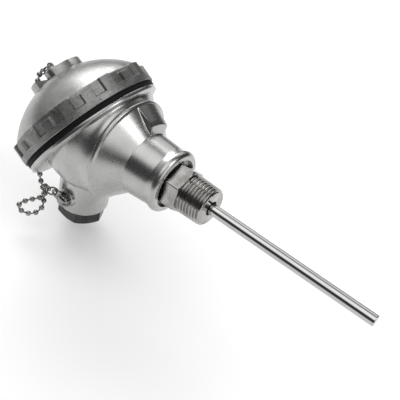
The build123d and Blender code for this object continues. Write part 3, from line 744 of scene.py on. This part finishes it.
    def flange(self) -> Array:
        """Flange ring whose opening is the chamber's ellipse, r = R / sqrt(sin^2 a + cos^2 a cos^2 t).

        Returns:
            Rows by columns by 3.
        """
        rim = rounded([
            (self.spigot_bore + 1, 0.0), (self.flange_radius, 0.0),
            (self.flange_radius, -self.flange_edge),
            (self.flange_radius - self.flange_draft, -self.flange_under),
            (self.spigot_bore, -self.flange_under),
        ], radius=0.35, steps=4, closed=False)
        angles = full_turn(144)
        opening = self.cavity_radius / np.sqrt(
            np.sin(angles) ** 2 + (np.cos(angles) * math.cos(HEAD_TILT)) ** 2)
        shift = np.cos(angles) * self.flange_under * math.tan(HEAD_TILT)
        radius = np.vstack([opening, repeated(rim[:, 0], angles.size), opening + shift, opening])
        height = np.concatenate([[0.0], rim[:, 1], [-self.flange_under, 0.0]])
        return lathe(CAP_AXES, radius, height, angles)

    def stub(self) -> Array:
        """Stub with a quarter-round root: r + F (1 - sin u), k = barrel + F (1 - cos u).

        Returns:
            Rows by columns by 3.
        """
        angles = full_turn(96)
        u = np.linspace(0, math.pi / 2, 9)[:, None]
        spread = self.stub_radius + self.stub_fillet * (1 - np.sin(u)) * np.ones(angles.size)
        side = spread * np.sin(angles)
        barrel = np.sqrt((self.barrel_radius + self.stub_lift) ** 2 - side ** 2)
        depth = barrel + self.stub_fillet * (1 - np.cos(u))
        lower = rounded([
            (self.stub_radius, self.stub_from), (self.stub_radius, self.stub_end),
            (self.stub_bore, self.stub_end), (self.stub_bore, self.stub_seat),
            (self.stub_passage, self.stub_seat), (self.stub_passage, self.stub_root),
        ], radius=0.6, steps=4, closed=False)
        radius = np.vstack([np.full(angles.size, self.stub_passage), spread,
                            repeated(lower[:, 0], angles.size)])
        height = np.vstack([np.full(angles.size, self.stub_root), depth,
                            repeated(lower[:, 1], angles.size)])
        return lathe(STUB_AXES, radius, height, angles)

    def side_boss(self) -> Array:
        """Spot-faced boss for the chain's screw, a turned disc sunk in the stub.

        Returns:
            Rows by columns by 3.
        """
        axes = Axes((-HEAD_REACH, 0.0, -self.boss_drop), (1.0, 0.0, 0.0), (0.0, -1.0, 0.0))
        foot = self.boss_face - self.boss_depth
        profile = rounded([(0.0, foot), (self.boss_radius + self.boss_spread, foot),
                           (self.boss_radius, self.boss_face), (0.0, self.boss_face)], 0.35,
                          closed=False)
        return turned(axes, profile, 48)

    def build(self) -> None:
        """Build the casting and stand it in for its solid."""
        thread = helical(CAP_AXES, self.spigot_foot, self.spigot_height, self.spigot_pitch,
                         self.spigot_thread_depth, self.spigot_radius, self.spigot_radius,
                         self.spigot_bore, self.spigot_chamfer, segments=144, rows_per_turn=10)
        casting = build_mesh("head_casting", [self.shell(), self.flange(), self.stub(),
                                              self.side_boss(), thread])
        finish_piece(casting, CAST, "root", "cast_aluminium", "head_body")
        gasket_line = rounded([
            (self.gasket_bore, self.gasket_bottom), (self.gasket_radius, self.gasket_bottom),
            (self.gasket_radius, self.gasket_top), (self.gasket_bore, self.gasket_top)], 0.5)
        gasket = build_mesh("flange_gasket", [turned(CAP_AXES, gasket_line, 144)])
        finish_piece(gasket, RUBBER, "root", "black_rubber", "cap_gasket")


@dataclass
class ScrewCap:
    """The domed cap: castellated skirt, recess, dome and the slotted boss in its crown."""

    rim_radius: float = 40.0
    recess_radius: float = 38.5
    bore_radius: float = 35.55
    rim_bottom: float = 2.8
    rim_top: float = 6.6
    skirt_top: float = 14.2
    skirt_top_radius: float = 37.8
    dome_radius: float = 47.5
    dome_top: float = 32.9
    wall: float = 3.0
    pad_count: int = 10
    pad_turn: float = -46.2
    tall_width: float = 9.5
    tall_top: float = 13.7
    short_width: float = 9.1
    short_top: float = 11.5
    edge_angle: float = 0.55
    edge_height: float = 0.4
    boss_radius: float = 15.0
    boss_top: float = 34.8
    boss_slot: float = 11.7
    boss_turn: float = -62.0
    boss_foot: float = 29.5
    boss_flare: float = 1.02
    hole_radius: float = 2.55

    def pad_angles(self) -> Array:
        """Columns that crowd at the pads' edges.

        Returns:
            Degrees over a full turn.
        """
        pitch = 360 / self.pad_count
        middles = self.pad_turn + pitch * np.arange(self.pad_count)
        edges = np.concatenate([
            middles - self.tall_width / 2, middles + self.tall_width / 2,
            middles + pitch / 2 - self.short_width / 2, middles + pitch / 2 + self.short_width / 2])
        ramps = edges[:, None] + np.linspace(-1, 1, 5) * self.edge_angle
        angles = np.concatenate([ramps.ravel(), np.arange(0, 360, 3.0)])
        angles = np.unique(np.round(np.mod(angles, 360), 4))
        return np.append(angles, angles[0] + 360)

    def relief(self, degrees: Array, height: Array) -> Array:
        """Height of the grip pads over the recess, from 0 to 1.

        A pad is a product of smooth steps: its own half width about its middle, and up to its own top.

        Args:
            degrees: one row of angles.
            height: one column of heights.

        Returns:
            Rows by columns.
        """
        pitch = 360 / self.pad_count
        total = np.zeros((height.size, degrees.size))
        for offset, width, top in ((0.0, self.tall_width, self.tall_top),
                                   (pitch / 2, self.short_width, self.short_top)):
            off = np.abs(np.mod(degrees - self.pad_turn - offset + pitch / 2, pitch) - pitch / 2)
            span = 1 - smooth_step(off, width / 2 - self.edge_angle, width / 2 + self.edge_angle)
            rise = 1 - smooth_step(height, top - self.edge_height, top + self.edge_height)
            total = np.maximum(total, rise[:, None] * span[None])
        return total

    def dome_line(self, radius: float, start: float, end: float, steps: int) -> Array:
        """Arc about the dome's centre: (R sin t, c + R cos t).

        Args:
            radius: the arc's own radius.
            start: how far off the cap's axis it starts.
            end: how far off the cap's axis it ends.
            steps: points on the arc.

        Returns:
            Rows of radius and height.
        """
        turns = np.linspace(math.asin(start / radius), math.asin(end / radius), steps)
        centre = self.dome_top - self.dome_radius
        return np.stack([radius * np.sin(turns), centre + radius * np.cos(turns)], axis=-1)

    def shell(self) -> Array:
        """Cap as one closed ring of rows: rim, castellated skirt, dome, hole, inner dome and bore.

        Returns:
            Rows by columns by 3.
        """
        degrees = self.pad_angles()
        rim = rounded([(self.bore_radius, self.rim_bottom + 3), (self.bore_radius, self.rim_bottom),
                       (self.rim_radius, self.rim_bottom), (self.rim_radius, self.rim_top - 0.3)],
                      0.5, 5, closed=False)
        levels = np.unique(np.round(np.concatenate([
            *(top + np.linspace(-1, 1, 5) * self.edge_height
              for top in (self.rim_top, self.short_top, self.tall_top)),
            np.arange(self.rim_top + 1, self.tall_top - 0.5, 1.0)]), 4))
        band = 1 - smooth_step(levels, self.rim_top - self.edge_height, self.rim_top + self.edge_height)
        share = np.maximum(band[:, None], self.relief(degrees, levels))
        lean = self.recess_radius + (self.skirt_top_radius - self.recess_radius) * smooth_step(
            levels, self.tall_top - 0.8, self.skirt_top + 0.2)
        skirt = lean[:, None] + share * (self.rim_radius - lean[:, None])
        dome = self.dome_line(self.dome_radius, self.skirt_top_radius, self.hole_radius, 40)
        inside = self.dome_line(self.dome_radius - self.wall, self.hole_radius, self.bore_radius, 24)
        radius = np.vstack([repeated(rim[:, 0], degrees.size), skirt] + [
            repeated(line[:, 0], degrees.size) for line in (dome, inside, rim[:1])])
        height = np.concatenate([rim[:, 1], levels, dome[:, 1], inside[:, 1], rim[:1, 1]])
        return lathe(CAP_AXES, radius, height, np.radians(degrees))

    def lug(self, side: float) -> Array:
        """One half of the crown boss: a D-shaped outline, drawn in at its rim by a rounded profile.

        The outline is the chord at half the slot's width and the arc that closes it.

        Args:
            side: 1 or -1, the side of the slot.

        Returns:
            Rows by columns by 3.
        """
        half = self.boss_slot / 2
        reach = math.acos(half / self.boss_radius)
        arc = np.linspace(-reach, reach, 33)
        curve = self.boss_radius * np.stack([np.cos(arc), np.sin(arc)], axis=-1)
        chord = np.linspace(curve[-1], curve[0], 15)[1:]
        outline = np.vstack([curve, chord])
        centre = np.array([0.5 * (half + self.boss_radius), 0.0])
        profile = rounded([(self.boss_flare, self.boss_foot), (1.0, self.boss_top),
                           (0.0, self.boss_top)], 0.14, 5, closed=False)
        profile = np.vstack([[0.0, self.boss_foot], profile])
        across = profile[:, 0][:, None, None]
        flat = centre + across * (outline - centre)
        turn = math.radians(self.boss_turn) + side * math.pi / 2
        x, y = flat[..., 0], flat[..., 1]
        height = np.broadcast_to(profile[:, 1][:, None], x.shape)
        local = np.stack([x * math.cos(turn) - y * math.sin(turn),
                          x * math.sin(turn) + y * math.cos(turn), height], axis=-1)
        return CAP_AXES.place(local)

    def build(self) -> None:
        """Build the cap and stand it in for its solid."""
        cap = build_mesh("cap_casting", [self.shell(), self.lug(1), self.lug(-1)])
        finish_piece(cap, CAP_CAST, "cap", "cast_aluminium", "screw_cap")
        cap.data.materials.append(SKIRT_CAST.material())
        faces = cap.data.polygons
        centres = np.empty(3 * len(faces))
        faces.foreach_get("center", centres)
        away = centres.reshape(-1, 3) / MM - np.array(HEAD)
        height = away @ np.array(OUTWARD)
        radius = np.sqrt(np.maximum((away ** 2).sum(axis=1) - height ** 2, 0))
        coarse = (height < self.tall_top + 0.1) & (radius > self.bore_radius + 1)
        faces.foreach_set("material_index", coarse.astype(np.int32))


@dataclass
class Nipple:
    """The hexagon nipple with a tapered thread on each side, and the sheath that it holds."""

    hex_back: float = 55.5
    hex_front: float = HEAD_REACH
    flats: float = 22.0
    corner_angle: float = 7.5
    thread_end: float = 80.3
    thread_back: float = 42.0
    thread_gap: float = 0.9
    thread_sink: float = 0.5
    front_chamfer: float = 1.0
    rear_chamfer: float = 0.8
    large_radius: float = 10.75
    small_radius: float = 10.29
    pitch: float = 1.814
    depth: float = 1.15
    bore: float = 3.02
    chamfer_length: float = 1.3
    chamfer_drop: float = 1.5
    chamfer_slope: float = 1.9
    chamfer_bend: float = 0.12
    relief_depth: float = 0.8
    relief_length: float = 1.2
    mouth_radius: float = 4.0
    mouth_depth: float = 2.0
    seat_wall: float = 0.5
    sheath_radius: float = 3.0
    tail_radius: float = 2.8
    weld: float = 0.9
    sheath_bore: float = 2.4
    sheath_start: float = 38.0
    sheath_end: float = 176.5
    tip_wall: float = 2.5
    tip_crown: float = 0.05
    tip_round: float = 0.8

    def hexagon(self) -> Array:
        """Hexagon with turned chamfers and the thread's relief in front of it.

        Returns:
            Rows by columns by 3.
        """
        corner = self.flats / math.sqrt(3)
        neck = self.large_radius - self.relief_depth
        relief_end = self.hex_front + self.relief_length
        stations = np.concatenate([
            [self.hex_back], self.hex_back + np.linspace(0, self.chamfer_length, 8),
            np.linspace(self.hex_back + 2, self.hex_front - 2, 5),
            self.hex_front - np.linspace(self.chamfer_length, 0, 8),
            [self.hex_front, relief_end, relief_end, self.hex_back, self.hex_back]])
        wide = corner + ROW_EXCESS
        radius = np.full(stations.size, wide)
        radius[0], radius[-5:] = self.bore, [neck, neck, self.bore, self.bore, self.bore]
        near = np.minimum(stations - self.hex_back, self.hex_front - stations)
        turned_corner = corner - self.chamfer_drop + self.chamfer_slope * near
        cone = np.where(near >= 0, turned_corner - self.chamfer_bend * near ** 2, wide)
        cone = np.where(radius < wide, radius, np.minimum(cone, wide))
        return hexagon(PROBE_AXES, np.stack([radius, stations], axis=-1), self.flats,
                       -self.corner_angle, cone)

    def build(self) -> None:
        """Build the nipple and the sheath."""
        front = helical(PROBE_AXES, self.hex_front + self.thread_gap, self.thread_end, self.pitch,
                        self.depth, self.large_radius, self.small_radius, self.mouth_radius,
                        self.front_chamfer)
        rear = helical(PROBE_AXES, self.thread_back, self.hex_back + self.thread_sink, self.pitch,
                       self.depth, self.small_radius, self.large_radius, self.bore, self.rear_chamfer)
        mouth = self.thread_end - self.mouth_depth
        seat_radius = self.mouth_radius + self.seat_wall
        seat = rounded([(self.bore, self.hex_front), (seat_radius, self.hex_front),
                        (seat_radius, mouth), (self.bore, mouth)], 0.2, 3)
        nipple = build_mesh("threaded_nipple", [self.hexagon(), front, rear,
                                                turned(PROBE_AXES, seat, 48)])
        finish_piece(nipple, STAINLESS, "root", "stainless", "hex_nipple")
        tip_inside = self.sheath_end - self.tip_wall
        tube_line = rounded([
            (0.0, self.sheath_end), (self.sheath_radius - self.tip_crown, self.sheath_end),
            (self.sheath_radius, self.sheath_end - self.tip_round),
            (self.sheath_radius, mouth + self.weld),
            (self.sheath_radius + self.weld, mouth), (self.tail_radius, mouth),
            (self.tail_radius, self.sheath_start), (self.sheath_bore, self.sheath_start),
            (self.sheath_bore, tip_inside), (0.0, tip_inside)], 0.45, 5, closed=False)
        sheath = build_mesh("bare_sheath", [turned(PROBE_AXES, tube_line, 64)])
        finish_piece(sheath, TUBE, "root", "stainless_tube", "probe_sheath")


@dataclass
class CableGland:
    """The hexagon gland nut that screws into the stub."""

    stub_end: float = ConnectionHead.stub_end
    hex_length: float = 7.9
    flats: float = 24.0
    corner_angle: float = 57.0
    thread_length: float = 6.0
    thread_radius: float = 10.4
    thread_depth: float = 0.75
    root_depth: float = 0.8
    pitch: float = 1.5
    bore: float = 5.0
    mouth_break: float = 0.4
    sink: float = 0.5
    shank_overlap: float = 0.3
    front_chamfer: float = 1.5
    front_drop: float = 1.7
    front_slope: float = 1.5
    front_bend: float = 0.1
    back_chamfer: float = 0.8
    back_drop: float = 0.6
    back_slope: float = 1.6

    def build(self) -> None:
        """Build the nut: a hexagon with a socketed face, and its threaded shank."""
        corner = self.flats / math.sqrt(3)
        end = self.stub_end + self.hex_length
        root = self.thread_radius - self.root_depth
        sunk = self.stub_end - self.sink
        stations = np.concatenate([
            [self.stub_end], self.stub_end + np.linspace(0, self.back_chamfer, 5),
            np.linspace(self.stub_end + 1.5, end - 2, 5), end - np.linspace(self.front_chamfer, 0, 9),
            [end, end - self.mouth_break, sunk, sunk, self.stub_end]])
        wide = corner + ROW_EXCESS
        radius = np.full(stations.size, wide)
        radius[0], radius[-5:] = root, [self.bore + self.mouth_break, self.bore, self.bore, root, root]
        from_end = end - stations
        front = corner - self.front_drop + self.front_slope * from_end - self.front_bend * from_end ** 2
        back = corner - self.back_drop + self.back_slope * (stations - self.stub_end)
        cone = np.where(radius < wide, radius, np.minimum(np.minimum(front, back), wide))
        nut = hexagon(STUB_AXES, np.stack([radius, stations], axis=-1), self.flats,
                      -self.corner_angle, cone)
        shank = helical(STUB_AXES, self.stub_end - self.thread_length,
                        self.stub_end + self.shank_overlap, self.pitch, self.thread_depth,
                        self.thread_radius, self.thread_radius, self.bore)
        piece = build_mesh("gland_hexagon", [nut, shank])
        finish_piece(piece, GLAND_PAINTED_SHADE, "gland", "machined_aluminium", "gland_nut")


@dataclass
class RetainingChain:
    """Eye post, wire rings and ball chain. The route's points are given."""

    post_radius: float = 5.2
    post_base: float = 32.65
    post_top: float = 37.2
    shank_radius: float = 2.5
    rivet_radius: float = 4.2
    rivet_top: float = 29.55
    rivet_height: float = 1.3
    eye_radius: float = 1.6
    eye_wire: float = 0.5
    eye_sink: float = 0.15
    ring_radius: float = 2.9
    ring_wire: float = 0.5
    ring_lift: float = 0.3
    ring_hook: float = 0.6
    tab_gap: float = 0.5
    ball_radius: float = 1.6
    ball_pitch: float = 4.2
    ball_clearance: float = 0.3
    first_ball: float = 2.6
    link_radius: float = 0.5
    end_eye_radius: float = 1.3
    end_eye_wire: float = 0.4
    crown_turn: float = -172.0
    rim_turn: float = -158.0
    tab_hole: tuple[float, float, float] = (-6.2, -16.6, -41.5)
    rim_ball: int = 14
    loop_ball: int = 22
    rivet_edge: float = 1.1
    curve_steps: int = 24
    link_stride: int = 4
    ball_rows: int = 11
    ball_sides: int = 16

    def eye_height(self) -> float:
        """Height of the eye's middle along the cap's axis."""
        return self.post_top + self.eye_radius + self.eye_wire - self.eye_sink

    def over_cap(self, radius: float, turn: float, height: float) -> Array:
        """Point at a radius, turn and height about the cap's axis."""
        angle = math.radians(turn)
        return CAP_AXES.point(radius * math.cos(angle), radius * math.sin(angle), height)

    def on_dome(self, radius: float, turn: float) -> Array:
        """Point where a ball rests on the dome.

        Args:
            radius: how far off the cap's axis it lies.
            turn: its angle about the axis in degrees.

        Returns:
            The ball's centre.
        """
        lift = ScrewCap.dome_radius + self.ball_radius + self.ball_clearance
        centre = ScrewCap.dome_top - ScrewCap.dome_radius
        return self.over_cap(radius, turn, centre + math.sqrt(lift ** 2 - radius ** 2))

    def ends(self) -> tuple[Axes, Axes, Array]:
        """Place the two rings.

        Returns:
            The frames of the top and the lower ring, and the way across the slot.
        """
        angle = math.radians(ScrewCap.boss_turn)
        slot = CAP_AXES.place(np.array([math.cos(angle), math.sin(angle), 0.0])) - np.array(HEAD)
        side = np.cross(np.array(OUTWARD), slot)
        raised = np.array(OUTWARD) * (self.eye_height() + self.ring_lift)
        top = np.array(HEAD) + raised - side * (self.ring_radius - self.ring_hook)
        aside = np.array([self.tab_gap - self.ring_radius, 0.0, 0.0])
        low = np.array(HEAD) + np.array(self.tab_hole) + aside
        low_axes = Axes(tuple(low), (1.0, 0.0, 0.0), (0.0, 0.0, 1.0))
        return Axes(tuple(top), tuple(slot), OUTWARD), low_axes, side

    def route(self) -> Array:
        """The chain's points, from the top ring over the dome and down to the lower ring.

        Returns:
            Rows of points.
        """
        top, low, side = self.ends()
        low_end = np.array(low.origin) - np.array([self.ring_radius, 0.0, 0.0])
        top_end = np.array(top.origin) - side * self.ring_radius
        clear = self.ball_radius + self.ball_clearance
        rim, boss, skirt = ScrewCap.rim_radius, ScrewCap.boss_top, ScrewCap.skirt_top
        free = np.array([
            (-14.2, -16.9, -49.0),
            (-12.3, -19.4, -54.0), (-13.5, -23.4, -57.3), (-17.0, -26.5, -58.2),
            (-20.8, -28.4, -56.6), (-21.4, -27.6, -53.4), (-18.4, -24.2, -50.6),
            (-14.6, -21.0, -48.4), (-12.3, -18.7, -46.0)])
        upper = [
            top_end - side * self.first_ball,
            self.over_cap(12.5, self.crown_turn + 12, boss + clear + 0.6),
            self.over_cap(16.4, self.crown_turn + 6, boss + 1.6),
            self.over_cap(18.9, self.crown_turn + 3, boss - 1.6),
            self.on_dome(23.5, self.crown_turn), self.on_dome(30.0, self.crown_turn),
            self.on_dome(36.0, self.crown_turn + 3),
            self.over_cap(rim + 0.6, self.rim_turn - 5, skirt + 1.6),
            self.over_cap(rim + clear, self.rim_turn - 1, skirt - 3.5),
            self.over_cap(rim + clear, self.rim_turn + 1, 5.6),
            self.over_cap(rim + clear, self.rim_turn + 1, 0.5),
            self.over_cap(rim + 4.9, self.rim_turn + 0.7, -3.2),
            self.over_cap(rim + 8.2, self.rim_turn - 1.4, -7.8)]
        last = low_end + np.array([-self.first_ball, 0.0, -0.2])
        return np.vstack([upper, free + np.array(HEAD), last])

    def balls(self) -> tuple[Array, Array]:
        """Ball centres at equal steps along a smooth curve through the route.

        Between two points the curve is the cubic whose slopes are half the way between neighbours.

        Returns:
            The balls' centres, and the smooth line.
        """
        points = self.route()
        slopes = np.gradient(points, axis=0)
        u = np.linspace(0, 1, self.curve_steps, endpoint=False)[None, :, None]
        start, end = points[:-1, None], points[1:, None]
        line = ((2 * u ** 3 - 3 * u ** 2 + 1) * start + (u ** 3 - 2 * u ** 2 + u) * slopes[:-1, None]
                + (3 * u ** 2 - 2 * u ** 3) * end + (u ** 3 - u ** 2) * slopes[1:, None]).reshape(-1, 3)
        line = np.vstack([line, points[-1:]])
        length = np.concatenate([[0.0], np.cumsum(np.linalg.norm(np.diff(line, axis=0), axis=1))])
        count = round(length[-1] / self.ball_pitch) + 1
        steps = np.linspace(0, length[-1], count)
        centres = np.stack([np.interp(steps, length, line[:, axis]) for axis in range(3)], axis=-1)
        return centres, line

    def ball(self, centre: Array) -> Array:
        """One ball as a grid of latitude and longitude: r sin u across and -r cos u up.

        Args:
            centre: the ball's centre.

        Returns:
            Rows by columns by 3.
        """
        latitude = np.linspace(0, math.pi, self.ball_rows)
        axes = Axes(tuple(centre), (1.0, 0.0, 0.0), (0.0, 0.0, 1.0))
        return lathe(axes, self.ball_radius * np.sin(latitude), -self.ball_radius * np.cos(latitude),
                     full_turn(self.ball_sides))

    def build(self) -> None:
        """Build the post, the two rings and the chain."""
        line = rounded([
            (0.0, self.rivet_top - self.rivet_height),
            (self.rivet_radius, self.rivet_top - self.rivet_edge),
            (self.rivet_radius, self.rivet_top), (self.shank_radius, self.rivet_top),
            (self.shank_radius, self.post_base), (self.post_radius, self.post_base),
            (self.post_radius, self.post_top), (0.0, self.post_top)], 0.5, 5, closed=False)
        top, low, side = self.ends()
        eye_axes = Axes(tuple(CAP_AXES.point(0, 0, self.eye_height())), OUTWARD, top.x)
        post = build_mesh("eye_post", [turned(CAP_AXES, line, 64),
                                       ring(eye_axes, self.eye_radius, self.eye_wire)])
        finish_piece(post, CAP_CAST, "cap_carrier", "cast_aluminium", "chain_swivel")
        upper = build_mesh("top_ring", [ring(top, self.ring_radius, self.ring_wire)])
        finish_piece(upper, PLATED, "cap_carrier", "bright_wire", "chain_top_ring")
        lower = build_mesh("lower_ring", [ring(low, self.ring_radius, self.ring_wire)])
        finish_piece(lower, PLATED, "root", "bright_wire", "chain_end_ring")
        centres, curve = self.balls()
        top_eye = ring(Axes(tuple(np.array(top.origin) - side * self.ring_radius), OUTWARD, top.x),
                       self.end_eye_radius, self.end_eye_wire)
        low_eye = ring(Axes(tuple(np.array(low.origin) - np.array([self.ring_radius, 0, 0])),
                            (1.0, 0.0, 0.0), (0.0, 1.0, 0.0)), self.end_eye_radius, self.end_eye_wire)
        # The chain parts at the loop's lowest ball: what rises from there to the stub stays still
        loop = centres[self.loop_ball]
        stride = self.link_stride
        cut = stride * round(int(np.argmin(np.linalg.norm(curve - loop, axis=1))) / stride)
        beads = build_mesh("bead_chain", [self.ball(centre) for centre in centres[:self.loop_ball + 1]]
                           + [closed_tube(carried(curve[:cut + 1:stride], self.link_radius)), top_eye])
        beads.data.materials.append(PLATED.material())
        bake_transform(beads)
        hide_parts("ball_chain")
        rising = build_mesh("bead_chain_end", [self.ball(centre) for centre in centres[self.loop_ball + 1:]]
                            + [closed_tube(carried(curve[cut::stride], self.link_radius)), low_eye])
        finish_piece(rising, PLATED, "root", "bead_chain")
        LOG.info("bead_chain: %d balls", len(centres))


@dataclass
class InnerParts:
    """Finishes of the solids that are shown as they are."""

    finishes: dict[str, Finish] = field(default_factory=lambda: {
        "chain_tab": PLATED, "chain_screw": PLATED, "chain_washer": PLATED, "gland_washer": PLATED,
        "gland_seal": RUBBER, "sheath_insulation": CERAMIC, "positive_wire": ALLOY,
        "negative_wire": ALLOY, "measuring_junction": ALLOY, "terminal_block": CERAMIC,
        "terminal_bar_positive": BRASS, "terminal_bar_negative": BRASS})

    def dress(self) -> None:
        """Give each remaining solid its material; screws and standoffs are plated."""
        for name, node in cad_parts.items():
            material = self.finishes.get(name, PLATED).material()
            if node.data.materials:
                node.data.materials[0] = material
            else:
                node.data.materials.append(material)
        LOG.info("dressed %d solids", len(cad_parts))


@dataclass
class Studio:
    """Floor, lamps, world and camera."""

    floor_height: float = -68.0
    floor_reach: float = 4000.0
    lens: float = 78.3
    sensor: float = 36.0
    far_clip: float = 50.0
    camera_place: tuple[float, float, float] = (164.9, -284.0, 281.7)
    camera_right: tuple[float, float, float] = (0.7679, 0.6122, 0.1885)
    camera_up: tuple[float, float, float] = (-0.5255, 0.4336, 0.7320)
    lamp_middle: tuple[float, float, float] = (-20.0, 0.0, 0.0)
    dark_level: float = 0.06
    lobes: tuple[tuple[tuple[float, float, float], float, float, float], ...] = (
        ((-0.85, 0.22, 0.48), 0.72, 0.99, 0.8), ((-0.12, -0.30, 0.95), 0.80, 0.97, 1.45),
        ((0.83, -0.20, 0.50), 0.84, 0.985, 1.25), ((-0.35, 0.68, 0.55), 0.84, 0.985, 1.1))
    painted_pool_middle: tuple[float, float] = (-60.0, 130.0)
    painted_pool_span: tuple[float, float] = (330.0, 800.0)
    floor_tone: float = 0.82
    floor_roughness: float = 0.8
    floor_glow: float = 0.26
    painted_pool_far: float = 0.09
    key_place: tuple[float, float, float] = (-900, 560, 760)
    key_size: tuple[float, float] = (800, 700)
    key_watts: float = 5.5
    side_place: tuple[float, float, float] = (900, 300, 1100)
    side_size: tuple[float, float] = (500, 900)
    side_watts: float = 5.0

    def floor(self) -> None:
        """Lay a pale floor with a painted pool of light: its colour and glow fade away from a point near
        the object.
        """
        reach = self.floor_reach
        corners = [(x * MM, y * MM, self.floor_height * MM)
                   for y in (-reach, reach) for x in (-reach, reach)]
        mesh = bpy.data.meshes.new("studio_floor")
        mesh.from_pydata(corners, [], [(0, 1, 3, 2)])
        material = bpy.data.materials.new("pale_floor")
        material.use_nodes = True
        graph = Graph(material.node_tree)
        away = graph.add("VectorMath", {
            0: graph.add("TexCoord", {}, "Object"),
            1: Vector((*self.painted_pool_middle, self.floor_height)) * MM}, "Value", operation="DISTANCE")
        # Painted pool of light: 1 near its middle, falling to the far level with distance
        painted_light_pool = graph.add("MapRange", {
            "Value": away, "From Min": self.painted_pool_span[0] * MM, "From Max": self.painted_pool_span[1] * MM,
            "To Min": 1.0, "To Max": self.painted_pool_far}, "Result", interpolation_type="SMOOTHSTEP")
        rays = graph.add("LightPath", {}).node.outputs
        seen = rays["Is Camera Ray"]
        for name in ("Is Glossy Ray", "Is Transmission Ray"):
            seen = graph.math("MAXIMUM", seen, rays[name])
        # Painted glow for camera, glossy and transmission rays, shaped by the painted pool of light
        painted_pool_glow = graph.math("MULTIPLY", graph.math("MULTIPLY", seen, painted_light_pool), self.floor_glow)
        graph.fill(graph.tree.nodes["Principled BSDF"], {
            "Roughness": self.floor_roughness, "Emission Color": (1, 1, 1, 1),
            "Base Color": graph.math("MULTIPLY", painted_light_pool, self.floor_tone), "Emission Strength": painted_pool_glow})
        mesh.materials.append(material)
        floor = place_object("studio_floor", mesh)

    def lamp(self, name: str, place: tuple[float, float, float], size: tuple[float, float],
             watts: float) -> None:
        """Hang one soft box that faces the object.

        Args:
            name: the lamp's name.
            place: where it hangs, in millimetres.
            size: its width and height in millimetres.
            watts: its power.
        """
        data = bpy.data.lights.new(name, "AREA")
        data.shape, data.size, data.size_y = "RECTANGLE", size[0] * MM, size[1] * MM
        data.energy = watts
        lamp = place_object(name, data)
        lamp.location = Vector(place) * MM
        way = Vector(self.lamp_middle) * MM - lamp.location
        lamp.rotation_euler = way.to_track_quat("-Z", "Y").to_euler()

    def world(self) -> None:
        """Dark surround with pale cards in it: each brightens by the cosine to its own way."""
        world = bpy.data.worlds.new("studio")
        world.use_nodes = True
        graph = Graph(world.node_tree)
        direction = graph.add("TexCoord", {}, "Generated")
        total = self.dark_level
        for way, start, end, level in self.lobes:
            toward = graph.add("VectorMath", {0: direction, 1: Vector(way).normalized()}, "Value",
                               operation="DOT_PRODUCT")
            card = graph.add("MapRange", {
                "Value": toward, "From Min": start, "From Max": end, "To Max": level}, "Result",
                interpolation_type="SMOOTHSTEP")
            total = graph.math("ADD", card, total)
        graph.fill(graph.tree.nodes["Background"], {"Color": total, "Strength": 1.0})
        bpy.context.scene.world = world

    def camera(self) -> None:
        """Set the camera at the photograph's viewing angle."""
        data = bpy.data.cameras.new("photo_camera")
        data.lens, data.sensor_width, data.clip_end = self.lens, self.sensor, self.far_clip
        right, up = Vector(self.camera_right).normalized(), Vector(self.camera_up).normalized()
        back = right.cross(up)
        turn = Matrix((right, up, back)).transposed().to_4x4()
        camera = place_object("photo_camera", data)
        camera.matrix_world = Matrix.Translation(Vector(self.camera_place) * MM) @ turn
        bpy.context.scene.camera = camera

    def build(self) -> None:
        """Set up the whole studio."""
        self.floor()
        self.world()
        self.camera()
        self.lamp("key_box", self.key_place, self.key_size, self.key_watts)
        self.lamp("side_box", self.side_place, self.side_size, self.side_watts)
        bpy.context.scene.view_settings.view_transform = "Standard"


def main() -> None:
    """Build the studio and every sub-assembly in order."""
    logging.basicConfig(level=logging.INFO, format="%(name)s: %(message)s")
    Studio().build()
    InnerParts().dress()
    ConnectionHead().build()
    ScrewCap().build()
    Nipple().build()
    CableGland().build()
    RetainingChain().build()


if __name__ == "__main__":
    main()
